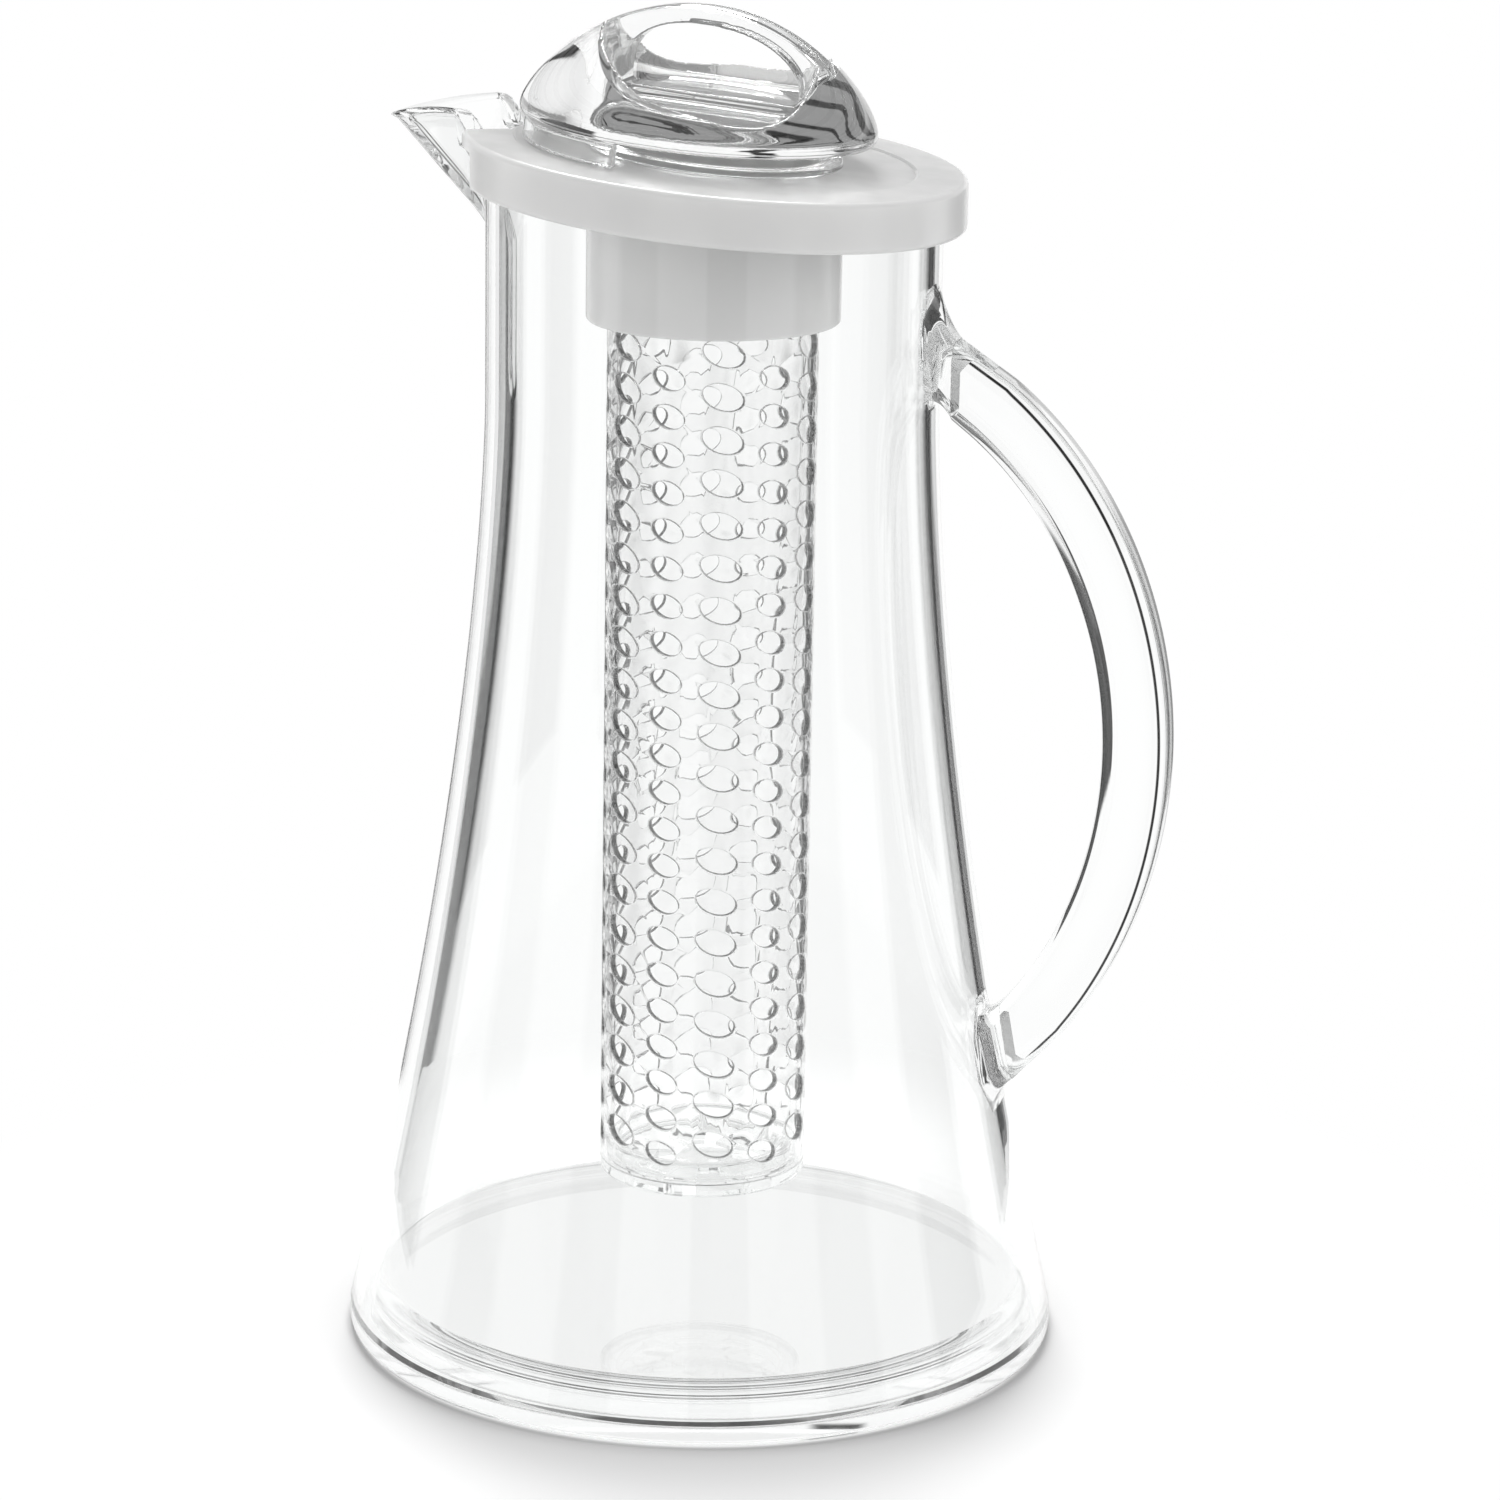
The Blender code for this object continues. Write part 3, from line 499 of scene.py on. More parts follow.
def make_boss(name, upper, length, shift):
    """Root of the handle, flaring from the strap's end to an oval in the body wall."""
    start = strap_end(upper, 0.0)
    middle = bow_point(bow_end(upper)).z
    tall = max(corner.z for corner in start) - min(corner.z for corner in start)
    rings = []
    steps = 10
    for i in range(steps + 1):
        share = i / steps
        flare = share ** BOSS_FLARE_POWER
        ring = []
        for corner in start:
            oval = math.hypot(corner.y / STRAP_WIDTH, (corner.z - middle) / tall) * 2.0
            full = 1.0 + (1.0 / oval - 1.0) * share
            y = corner.y * (1.0 + (BOSS_WIDTH / STRAP_WIDTH - 1.0) * flare) * full
            tallness = (1.0 + (length / tall - 1.0) * flare) * full
            z = middle + shift * share + (corner.z - middle) * tallness
            wall = math.sqrt((flare_radius(z) + BODY_WALL * BOSS_PROUD_SHARE) ** 2 - y * y)
            ring.append(Vector((corner.x * (1.0 - share) + wall * share, y, z)))
        rings.append(ring)
    root = []
    for point in rings[-1]:
        inner = flare_radius(point.z) - BODY_WALL / 2.0
        root.append(Vector((math.sqrt(inner ** 2 - point.y ** 2), point.y, point.z)))
    rings.append(root)
    return skinned(name, rings)


def make_handle():
    stations = 96
    low, high = bow_end(False), bow_end(True)
    rings = [strap_end(False, BOND)]
    for i in range(stations + 1):
        rings.append(strap_section(low + STRAP_TRIM + (high - low - 2.0 * STRAP_TRIM) * i / stations))
    rings.append(strap_end(True, BOND))
    handle = skinned("clear_handle", rings)
    even_normals(handle)
    return handle


# Base plate

def make_base():
    plug = flare_radius(FLOOR_HEIGHT) - BODY_WALL - GAP
    outline = rounded([(CENTRE_RADIUS, 0.0, 0.0), (BASE_RADIUS, 0.0, FOOT_ROUND),
                       (BASE_RADIUS, FOOT_HEIGHT, FOOT_EDGE_ROUND), (plug, FOOT_HEIGHT, FOOT_EDGE_ROUND),
                       (plug, FLOOR_HEIGHT, FLOOR_ROUND), (CENTRE_RADIUS, FLOOR_HEIGHT, 0.0)], 8)
    return turned("clear_base", outline, steps=160, wrap=False)


# Lid ring

def lid_slant(radius, height):
    """The plate and the skirt fall with the rim, and the collar comes upright toward its lower end."""
    if radius > COLLAR_RADIUS + COLLAR_MARGIN:
        return 1.0
    under = PLATE_TOP - PLATE_THICKNESS
    return min(max((height - COLLAR_BOTTOM) / (under - COLLAR_BOTTOM), 0.0), 1.0)


def spout_half_span():
    """Angle from the spout's middle at which the rim is back on the round neck."""
    turn = 0.0
    while neck_outline(SPOUT_ANGLE + turn, SPOUT_REACH, 0.0) > NECK_RADIUS + SPOUT_TOLERANCE:
        turn += math.radians(0.5)
    return turn


def make_lid():
    under = PLATE_TOP - PLATE_THICKNESS
    skirt = PLATE_TOP - SKIRT_DROP
    outline = rounded([(COLLAR_RADIUS, COLLAR_BOTTOM, COLLAR_FOOT_ROUND),
                       (COLLAR_RADIUS, under, COLLAR_ROOT_ROUND),
                       (SKIRT_BORE, under, SKIRT_ROOT_ROUND), (SKIRT_BORE, skirt, SKIRT_INNER_ROUND),
                       (PLATE_RADIUS, skirt, SKIRT_OUTER_ROUND), (PLATE_RADIUS, PLATE_TOP, PLATE_ROUND),
                       (RECESS_RADIUS, PLATE_TOP, RECESS_ROUND),
                       (RECESS_RADIUS - RECESS_DEPTH, RECESS_FLOOR, RECESS_ROUND),
                       (COLLAR_BORE, RECESS_FLOOR, COLLAR_BORE_ROUND),
                       (COLLAR_BORE, COLLAR_BOTTOM, COLLAR_BORE_ROUND)], 4)
    lid = turned("white_lid", outline, steps=160, slant=lid_slant, even=False)
    outer = PLATE_RADIUS + OVERCUT
    half_outer = NOTCH_HALF_WIDTH + (outer - NOTCH_INNER) * math.tan(NOTCH_SPLAY)
    wedge = [(-NOTCH_INNER, -NOTCH_HALF_WIDTH), (-NOTCH_INNER, NOTCH_HALF_WIDTH),
             (-outer, half_outer), (-outer, -half_outer)]
    low, high = skirt - OVERCUT, PLATE_TOP + PLATE_RADIUS * FALL + OVERCUT
    notch = skinned("pour_notch", [[(x, y, z) for x, y in wedge] for z in (low, high)])
    half = spout_half_span()
    gap = arc_block("skirt_gap", (NECK_RADIUS - BODY_WALL, outer),
                    (SPOUT_ANGLE - half, SPOUT_ANGLE + half),
                    (under - SKIRT_DROP, under + SKIRT_GAP_RISE), steps=48, slanted=1.0)
    combine(lid, "DIFFERENCE", [notch, gap])
    crisp(lid)
    return lid


# Cap

def dome_height(share):
    """Height of the dome's surface at a share of its radius."""
    swell = max(1.0 - share * share, 0.0) ** (DOME_SHOULDER / 2.0)
    return DOME_EDGE + (DOME_HEIGHT - DOME_EDGE) * swell


def make_scoop(name, side):
    """Hollow beside the grip bar: half a squarish oval that leans along the bar, with drafted ends."""
    points = 64
    near = GRIP_BAR_WIDTH / 2.0
    levels = []
    for i in range(11):
        angle = math.pi / 2.0 * i / 10
        levels.append((GRIP_ROUND * (1.0 - math.sin(angle)),
                       GRIP_FLOOR + GRIP_ROUND * (1.0 - math.cos(angle))))
    levels.append((0.0, DOME_HEIGHT + OVERCUT))
    rings = []
    for inset, height in levels:
        half = SCOOP_HALF_LENGTH - inset + GRIP_DRAFT * (height - GRIP_FLOOR)
        deep = GRIP_REACH - near - inset
        ring = []
        for i in range(points + 1):
            c, s = math.cos(math.pi * i / points), math.sin(math.pi * i / points)
            out = deep * abs(s) ** GRIP_SQUARENESS
            along = GRIP_SHIFT - side * GRIP_LEAN * out
            along += half * math.copysign(abs(c) ** GRIP_SQUARENESS, c)
            ring.append((along, side * (near + out), height))
        rings.append(ring)
    return skinned(name, rings)


def make_window():
    """Opening under the grip bar: a flat sill below an arch that keeps the bar's thickness."""
    points = 64
    half = GRIP_HALF_LENGTH - WINDOW_INSET
    outline = []
    for i in range(points + 1):
        turn = math.pi * i / points
        c, s = math.cos(turn), math.sin(turn)
        x = GRIP_SHIFT + half * math.copysign(abs(c) ** WINDOW_SQUARENESS, c)
        arch = dome_height(x / DOME_RADIUS) - GRIP_BAR_THICKNESS - GRIP_SILL
        outline.append((x, GRIP_SILL + arch * max(s, 0.0) ** WINDOW_SQUARENESS))
    depths = (-WINDOW_HALF_DEPTH, WINDOW_HALF_DEPTH)
    return skinned("grip_window", [[(x, y, z) for x, z in outline] for y in depths])


def make_dome():
    steps = 160
    levels = 48
    bevel = DOME_EDGE_ROUND * BEVEL_MIDDLE
    profile = [(DOME_RADIUS - DOME_EDGE_ROUND, 0.0), (DOME_RADIUS - bevel, bevel),
               (DOME_RADIUS, DOME_EDGE_ROUND)]
    for i in range(levels):
        share = math.cos(math.pi / 2.0 * i / levels)
        profile.append((DOME_RADIUS * share, dome_height(share)))
    rings = []
    for radius, height in profile:
        rings.append([(radius * math.cos(2.0 * math.pi * i / steps),
                       radius * math.sin(2.0 * math.pi * i / steps), height) for i in range(steps)])
    dome = skinned("clear_dome", rings)
    outside = DOME_RADIUS - DOME_EDGE_ROUND
    foot = -(DOME_LIFT - GAP) * math.cos(SLANT)
    guard = arc_block("guard_wall", (outside - GUARD_WALL, outside),
                      (SPOUT_ANGLE - GUARD_HALF_SPAN, SPOUT_ANGLE + GUARD_HALF_SPAN),
                      (foot, DOME_EDGE_ROUND), steps=64)
    combine(dome, "UNION", [guard])
    scoops = [make_scoop("front_scoop", -1.0), make_scoop("back_scoop", 1.0)]
    combine(dome, "DIFFERENCE", scoops + [make_window()])
    remesh = dome.modifiers.new("Remesh", "REMESH")
    remesh.mode = "VOXEL"
    remesh.voxel_size = DOME_VOXEL
    soften = dome.modifiers.new("Soften", "SMOOTH")
    soften.factor = DOME_SOFTENING
    soften.iterations = DOME_SOFTENING_PASSES
    settle(dome)
    dome.data.shade_smooth()
    place = Matrix.Translation((-DOME_OFFSET, 0.0, DOME_UNDERSIDE + DOME_OFFSET * FALL))
    dome.data.transform(place @ Matrix.Rotation(SLANT, 4, "Y"))
    return dome


def neck_slant(radius, height):
    """The neck stands upright and its top and shoulder fall with the lid."""
    return min(max((height - NECK_BOTTOM) / (RECESS_FLOOR - NECK_BOTTOM), 0.0), 1.0)


def make_neck():
    low = RECESS_FLOOR + GAP
    high = low + SHOULDER_THICKNESS
    top = DOME_UNDERSIDE - GAP
    outline = rounded([(NECK_BORE, NECK_BOTTOM, NECK_EDGE_ROUND),
                       (NECK_OUTSIDE, NECK_BOTTOM, NECK_FOOT_ROUND),
                       (NECK_OUTSIDE, low, NECK_UNDERCUT_ROUND), (SHOULDER_RADIUS, low, NECK_EDGE_ROUND),
                       (SHOULDER_RADIUS, high, SHOULDER_ROUND), (NECK_OUTSIDE, high, NECK_ROOT_ROUND),
                       (NECK_OUTSIDE, top, NECK_EDGE_ROUND), (NECK_BORE, top, NECK_EDGE_ROUND)], 3)
    neck = turned("clear_neck", outline, steps=128, slant=neck_slant, even=False)
    lug_top = TUBE_TOP - LUG_BELOW_TOP + LUG_CLEARANCE
    lug_low = lug_top - LUG_HEIGHT - 2.0 * LUG_CLEARANCE
    half = LUG_SPAN / 2.0 + LUG_CLEARANCE / TUBE_RADIUS
    radii = (NECK_BORE - OVERCUT, NECK_OUTSIDE + OVERCUT)
    slots = []
    for number, angle in enumerate((math.pi / 2.0, -math.pi / 2.0), start=1):
        entry = angle - LUG_TURN
        slots.append(arc_block("slot_arm_%d" % number, radii, (entry - half, angle + half),
                               (lug_low, lug_top)))
        slots.append(arc_block("slot_entry_%d" % number, radii, (entry - half, entry + half),
                               (NECK_BOTTOM - OVERCUT, lug_low + LUG_HEIGHT / 2.0), steps=4))
    combine(neck, "DIFFERENCE", slots)
    crisp(neck)
    return neck


# Infuser

def tube_holes():
    """Centres and half axes of all holes on the flat pattern, in arc length and height."""
    column = 2.0 * math.pi * TUBE_RADIUS / COLUMNS
    holes = []
    for number in range(COLUMNS):
        kind = (WIDE_HOLES, NARROW_HOLES)[number % 2]
        z = TUBE_BOTTOM + kind["start"]
        while z + kind["height"] / 2.0 < COLLAR_BOTTOM:
            holes.append(((number + 0.5) * column, z, kind["length"] / 2.0, kind["height"] / 2.0))
            z += kind["pitch"]
    return holes


def oval(hole, extra, sides=24):
    """Outline of a hole on the flat pattern, widened by an extra margin."""
    u0, v0, long_half, short_half = hole
    c, s = math.cos(HOLE_TILT), math.sin(HOLE_TILT)
    points = []
    for i in range(sides):
        angle = 2.0 * math.pi * i / sides
        u = (long_half + extra) * math.cos(angle)
        v = (short_half + extra) * math.sin(angle)
        points.append((u0 + u * c - v * s, v0 + u * s + v * c))
    return points


def within(hole, extra, point):
    """Whether a point of the flat pattern lies in a hole widened by an extra margin."""
    c, s = math.cos(HOLE_TILT), math.sin(HOLE_TILT)
    u, v = point[0] - hole[0], point[1] - hole[1]
    across = (u * c + v * s) / (hole[2] + extra)
    up = (v * c - u * s) / (hole[3] + extra)
    return across * across + up * up < 1.0


def flat_wall(holes, margin):
    """Triangles of the perforated wall laid flat, with the holes widened by a margin left out."""
    girth = 2.0 * math.pi * TUBE_RADIUS
    steps = COLUMN_STEPS * COLUMNS
    count = 24
    ribs = [TUBE_BOTTOM + (TUBE_TOP - TUBE_BOTTOM) * i / count for i in range(count + 1)]
    border = [(girth * i / steps, TUBE_BOTTOM) for i in range(steps)]
    border += [(girth, z) for z in ribs[:-1]]
    border += [(girth * (steps - i) / steps, TUBE_TOP) for i in range(steps)]
    border += [(0.0, z) for z in reversed(ribs[1:])]
    outlines = [border] + [oval(hole, margin) for hole in holes]
    points = []
    edges = []
    for outline in outlines:
        first = len(points)
        points += outline
        edges += [(first + i, first + (i + 1) % len(outline)) for i in range(len(outline))]
    for number in range(1, steps):
        u = girth * number / steps
        plain = [z for z in ribs[1:-1] if z > COLLAR_BOTTOM or number % COLUMN_STEPS == 0]
        points += [(u, z) for z in plain]
    scale = 1000.0
    scaled = [Vector((u * scale, v * scale)) for u, v in points]
    corners, _, triangles, _, _, _ = delaunay_2d_cdt(scaled, edges, [], 1, 1e-4)
    flat = [(corner.x / scale, corner.y / scale) for corner in corners]
    kept = []
    for triangle in triangles:
        middle = (sum(flat[i][0] for i in triangle) / 3.0, sum(flat[i][1] for i in triangle) / 3.0)
        near = [hole for hole in holes
                if max(abs(hole[0] - middle[0]), abs(hole[1] - middle[1])) < HOLE_NEARNESS]
        if not any(within(hole, margin, middle) for hole in near):
            kept.append(triangle)
    return flat, kept


def roll(point, radius):
    """Point of the flat pattern on a cylinder of the given radius."""
    angle = FIRST_COLUMN - math.pi / COLUMNS + point[0] / TUBE_RADIUS
    return (radius * math.cos(angle), radius * math.sin(angle), point[1])


def make_tube():
    holes = tube_holes()
    flat, triangles = flat_wall(holes, HOLE_ROUND)
    bevel = HOLE_ROUND * BEVEL_MIDDLE
    bm = bmesh.new()
    for radius, ring_order in ((TUBE_RADIUS, 1), (TUBE_BORE, -1)):
        verts = [bm.verts.new(roll(point, radius)) for point in flat]
        for triangle in triangles:
            bm.faces.new([verts[i] for i in triangle[::ring_order]])
    bmesh.ops.delete(bm, geom=[v for v in bm.verts if not v.link_faces], context="VERTS")
    for hole in holes:
        outer, middle, inner = oval(hole, HOLE_ROUND), oval(hole, bevel), oval(hole, 0.0)
        rings = [[roll(p, TUBE_RADIUS) for p in outer],
                 [roll(p, TUBE_RADIUS - bevel) for p in middle],
                 [roll(p, TUBE_RADIUS - HOLE_ROUND) for p in inner],
                 [roll(p, TUBE_BORE + HOLE_ROUND) for p in inner],
                 [roll(p, TUBE_BORE + bevel) for p in middle],
                 [roll(p, TUBE_BORE) for p in outer]]
        loops = [[bm.verts.new(point) for point in ring] for ring in rings]
        for upper, lower in zip(loops, loops[1:]):
            for i in range(len(upper)):
                j = (i + 1) % len(upper)
                bm.faces.new((upper[i], upper[j], lower[j], lower[i]))
    steps = COLUMN_STEPS * COLUMNS
    girth = 2.0 * math.pi * TUBE_RADIUS
    for z in (TUBE_BOTTOM, TUBE_TOP):
        loops = []
        for radius in (TUBE_RADIUS, TUBE_BORE):
            loops.append([bm.verts.new(roll((girth * i / steps, z), radius)) for i in range(steps)])
        for i in range(steps):
            j = (i + 1) % steps
            bm.faces.new((loops[0][i], loops[0][j], loops[1][j], loops[1][i]))
    bmesh.ops.remove_doubles(bm, verts=bm.verts, dist=MERGE_DISTANCE)
    tube = mesh_object("clear_tube", bm, sharp=TUBE_CRISP_ANGLE)
    high = TUBE_TOP - LUG_BELOW_TOP
    lugs = []
    for number, angle in enumerate((math.pi / 2.0, -math.pi / 2.0), start=1):
        lugs.append(arc_block("lug_%d" % number, (TUBE_RADIUS - TUBE_WALL / 2.0, LUG_RADIUS),
                              (angle - LUG_SPAN / 2.0, angle + LUG_SPAN / 2.0),
                              (high - LUG_HEIGHT, high), steps=6))
    combine(tube, "UNION", lugs)
    even_normals(tube)
    return tube


def make_end_cap():
    top = TUBE_BOTTOM - GAP
    plug = TUBE_BORE - 2.0 * GAP
    cup = plug - END_CAP_WALL
    outline = rounded([(CENTRE_RADIUS, END_CAP_BOTTOM, 0.0), (TUBE_RADIUS, END_CAP_BOTTOM, END_CAP_ROUND),
                       (TUBE_RADIUS, top, END_CAP_LEDGE_ROUND), (plug, top, END_CAP_LEDGE_ROUND),
                       (plug, END_CAP_RIM, END_CAP_LIP_ROUND), (cup, END_CAP_RIM, END_CAP_LIP_ROUND),
                       (cup, top, END_CAP_ROUND), (CENTRE_RADIUS, top, 0.0)], 4)
    cap = turned("clear_end_cap", outline, steps=96, wrap=False, even=False)
    slots = []
    for number in range(DRAIN_SLOTS):
        angle = 2.0 * math.pi * number / DRAIN_SLOTS
        span = (angle - DRAIN_SPAN / 2.0, angle + DRAIN_SPAN / 2.0)
        slots.append(arc_block("drain_slot_%d" % (number + 1), (DRAIN_INNER, DRAIN_OUTER), span,
                               (END_CAP_BOTTOM - OVERCUT, top + OVERCUT / 5.0), steps=8))
    combine(cap, "DIFFERENCE", slots)
    crisp(cap)
    return cap


# Materials

ACRYLIC_IOR = 1.49
CLEAR_TINT = (0.995, 1.0, 0.998, 1.0)
# Shares of lamp light that pass through a face: of clear walls, the dome, the body's foot and the base
CLEAR_SHARE = 0.97
DOME_SHARE = 0.55
FOOT_SHARE = 0.30
BASE_SHARE = 0.0
# Height up to which the foot dims the light, and the level of the painted shade on the sides of holes
FOOT_SHADE_TOP = 0.10
HOLE_PAINTED_SHADE = 0.18
# Shares of half a wall's thickness between which its clear faces turn into the painted shade on the sides of
# holes
HOLE_SHADE_START, HOLE_SHADE_END = 0.6, 0.9
HAZE_SCALE, HAZE_DETAIL, HAZE_ROUGHNESS = 90.0, 4.0, 0.03
WAVE_SCALE, WAVE_DETAIL, WAVE_DEPTH = 22.0, 1.0, 0.001
LIVELY_WAVE, FAINT_WAVE = 0.03, 0.02
NOISE_LOW, NOISE_HIGH = 0.35, 0.65
SATIN_DARK, SATIN_PALE = (0.62, 0.62, 0.62, 1.0), (0.66, 0.66, 0.655, 1.0)
SATIN_DARK_STOP, SATIN_PALE_STOP = 0.3, 0.7
TONE_SCALE, TONE_DETAIL = 35.0, 3.0
SHEEN_SCALE, SHEEN_DETAIL, SHEEN_LOW, SHEEN_HIGH = 120.0, 3.0, 0.20, 0.26
GRAIN_SCALE, GRAIN_DETAIL, GRAIN_DEPTH, GRAIN_STRENGTH = 900.0, 2.0, 0.00003, 0.06
MILKINESS, MILK_REACH = 0.5, (0.004, 0.004, 0.004)


def link(tree, source, target):
    tree.links.new(source, target)


def math_node(tree, operation, *values):
    node = tree.nodes.new("ShaderNodeMath")
    node.operation = operation
    for socket, value in zip(node.inputs, values):
        if isinstance(value, float):
            socket.default_value = value
        else:
            link(tree, value, socket)
    return node.outputs["Value"]


def smooth_step(tree, value, start, end, low, high):
    node = tree.nodes.new("ShaderNodeMapRange")
    node.interpolation_type = "SMOOTHSTEP"
    node.inputs["From Min"].default_value = start
    node.inputs["From Max"].default_value = end
    node.inputs["To Min"].default_value = low
    node.inputs["To Max"].default_value = high
    link(tree, value, node.inputs["Value"])
    return node.outputs["Result"]


def noise(tree, scale, detail):
    """Noise in object space, in metres."""
    place = tree.nodes.new("ShaderNodeTexCoord")
    texture = tree.nodes.new("ShaderNodeTexNoise")
    texture.inputs["Scale"].default_value = scale
    texture.inputs["Detail"].default_value = detail
    link(tree, place.outputs["Object"], texture.inputs["Vector"])
    return texture.outputs["Fac"]


def ramp(tree, value, low, high):
    """Map a noise value to a range."""
    node = tree.nodes.new("ShaderNodeMapRange")
    node.inputs["From Min"].default_value = NOISE_LOW
    node.inputs["From Max"].default_value = NOISE_HIGH
    node.inputs["To Min"].default_value = low
    node.inputs["To Max"].default_value = high
    link(tree, value, node.inputs["Value"])
    return node.outputs["Result"]


def bump(tree, height, distance, strength):
    node = tree.nodes.new("ShaderNodeBump")
    node.inputs["Distance"].default_value = distance
    node.inputs["Strength"].default_value = strength
    link(tree, height, node.inputs["Height"])
    return node.outputs["Normal"]


def painted_hole_shade(tree, wall):
    """Clear on both faces of a turned wall and darker between them: painted shade on the sides of its holes.
    """
    inner, outer = wall
    middle, half = (inner + outer) / 2.0, (outer - inner) / 2.0
    place = tree.nodes.new("ShaderNodeTexCoord")
    flat = tree.nodes.new("ShaderNodeVectorMath")
    flat.operation = "MULTIPLY"
    flat.inputs[1].default_value = (1.0, 1.0, 0.0)
    link(tree, place.outputs["Object"], flat.inputs[0])
    radius = tree.nodes.new("ShaderNodeVectorMath")
    radius.operation = "LENGTH"
    link(tree, flat.outputs["Vector"], radius.inputs[0])
    off = math_node(tree, "ABSOLUTE", math_node(tree, "SUBTRACT", radius.outputs["Value"], middle))
    start, end = half * HOLE_SHADE_START, half * HOLE_SHADE_END
    # Painted shade: the colour falls to a dark level on the sides of the holes
    level = smooth_step(tree, off, start, end, HOLE_PAINTED_SHADE, CLEAR_SHARE)
    colour = tree.nodes.new("ShaderNodeCombineColor")
    for channel in ("Red", "Green", "Blue"):
        link(tree, level, colour.inputs[channel])
    return colour.outputs["Color"]


def clear_acrylic(name, wave, shadow=CLEAR_SHARE, wall=None, foot=None):
    """Polished clear plastic with faint handling haze and a slight mould wave.

    Each face lets a share of the lamps' light through, which sets the shadow. Where a wall's inner and
    outer radius are given, the sides of the holes in it get painted shade. Where the height of a foot is
    given, less light passes below it, so that the foot throws a shadow.
    """
    material = bpy.data.materials.new(name)
    material.use_nodes = True
    tree = material.node_tree
    shader = tree.nodes["Principled BSDF"]
    shader.inputs["Base Color"].default_value = CLEAR_TINT
    shader.inputs["Transmission Weight"].default_value = 1.0
    shader.inputs["IOR"].default_value = ACRYLIC_IOR
    # Painted shade on the sides of the holes, where a wall is given
    if wall:
        link(tree, painted_hole_shade(tree, wall), shader.inputs["Base Color"])
    haze = ramp(tree, noise(tree, HAZE_SCALE, HAZE_DETAIL), 0.0, HAZE_ROUGHNESS)
    link(tree, haze, shader.inputs["Roughness"])
    waves = bump(tree, noise(tree, WAVE_SCALE, WAVE_DETAIL), WAVE_DEPTH, wave)
    link(tree, waves, shader.inputs["Normal"])
    path = tree.nodes.new("ShaderNodeLightPath")
    through = tree.nodes.new("ShaderNodeBsdfTransparent")
    through.inputs["Color"].default_value = (shadow, shadow, shadow, 1.0)
    if foot:
        place = tree.nodes.new("ShaderNodeTexCoord")
        split = tree.nodes.new("ShaderNodeSeparateXYZ")
        link(tree, place.outputs["Object"], split.inputs["Vector"])
        passed = smooth_step(tree, split.outputs["Z"], 0.0, foot, FOOT_SHARE, shadow)
        link(tree, passed, through.inputs["Color"])
    soft = math_node(tree, "MAXIMUM", path.outputs["Is Shadow Ray"], path.outputs["Is Diffuse Ray"])
    mix = tree.nodes.new("ShaderNodeMixShader")
    link(tree, soft, mix.inputs["Fac"])
    link(tree, shader.outputs["BSDF"], mix.inputs[1])
    link(tree, through.outputs["BSDF"], mix.inputs[2])
    link(tree, mix.outputs["Shader"], tree.nodes["Material Output"].inputs["Surface"])
    return material


def satin_white(name):
    """Milky moulded plastic with a fine satin grain."""
    material = bpy.data.materials.new(name)
    material.use_nodes = True
    tree = material.node_tree
    shader = tree.nodes["Principled BSDF"]
    shade = tree.nodes.new("ShaderNodeValToRGB")
    dark, pale = shade.color_ramp.elements
    dark.position, dark.color = SATIN_DARK_STOP, SATIN_DARK
    pale.position, pale.color = SATIN_PALE_STOP, SATIN_PALE
    link(tree, noise(tree, TONE_SCALE, TONE_DETAIL), shade.inputs["Fac"])
    link(tree, shade.outputs["Color"], shader.inputs["Base Color"])
    sheen = ramp(tree, noise(tree, SHEEN_SCALE, SHEEN_DETAIL), SHEEN_LOW, SHEEN_HIGH)
    link(tree, sheen, shader.inputs["Roughness"])
    grain = bump(tree, noise(tree, GRAIN_SCALE, GRAIN_DETAIL), GRAIN_DEPTH, GRAIN_STRENGTH)
    link(tree, grain, shader.inputs["Normal"])
    shader.inputs["IOR"].default_value = ACRYLIC_IOR
    shader.inputs["Subsurface Weight"].default_value = MILKINESS
    shader.inputs["Subsurface Radius"].default_value = MILK_REACH
    shader.inputs["Subsurface Scale"].default_value = 1.0
    return material


# Pieces

finish_piece(make_body(), "pitcher", "pitcher_body",
             clear_acrylic("body_clear", LIVELY_WAVE, foot=FOOT_SHADE_TOP))
finish_piece(make_base(), "pitcher", "base_plate", clear_acrylic("base_clear", FAINT_WAVE, shadow=BASE_SHARE))
finish_piece(make_handle(), "pitcher", "handle", clear_acrylic("handle_clear", LIVELY_WAVE))
finish_piece(make_lid(), "lid", "lid_ring", satin_white("lid_satin"))
finish_piece(make_dome(), "cap", "cap_dome", clear_acrylic("dome_clear", FAINT_WAVE, shadow=DOME_SHARE))
finish_piece(make_neck(), "cap", "cap_neck", clear_acrylic("neck_clear", FAINT_WAVE))
# The tube gets painted shade on the sides of its holes
finish_piece(make_tube(), "infuser", "infuser_tube",
             clear_acrylic("tube_clear", LIVELY_WAVE, wall=(TUBE_BORE, TUBE_RADIUS)))
finish_piece(make_end_cap(), "infuser", "infuser_end_cap", clear_acrylic("end_cap_clear", FAINT_WAVE))


# Stage, light and camera

# Radii of the floor as shares of the base: its edge, its fade into the surround and its glow below the base
FLOOR_REACH = 2.7
FADE_START, FADE_END = 1.2, 2.6
GLOW_EDGE = 0.97
GLOW_UNDER_BASE = 0.90
FLOOR_DROP = 0.0002
FLOOR_WHITE = (0.96, 0.96, 0.96, 1.0)
# Dark rings hung over the stage that draw fine lines in the dome: inner and outer radius, and brightness
HANGING_HEIGHT = 0.360
HANGING_STEP = 0.0001
HANGING_RINGS = ((0.083, 0.600, 0.30), (0.103, 0.113, 0.10), (0.139, 0.155, 0.05), (0.189, 0.205, 0.05),
                 (0.266, 0.280, 0.02), (0.312, 0.332, 0.02), (0.419, 0.447, 0.02), (0.503, 0.545, 0.02))
AMBIENT = 0.60
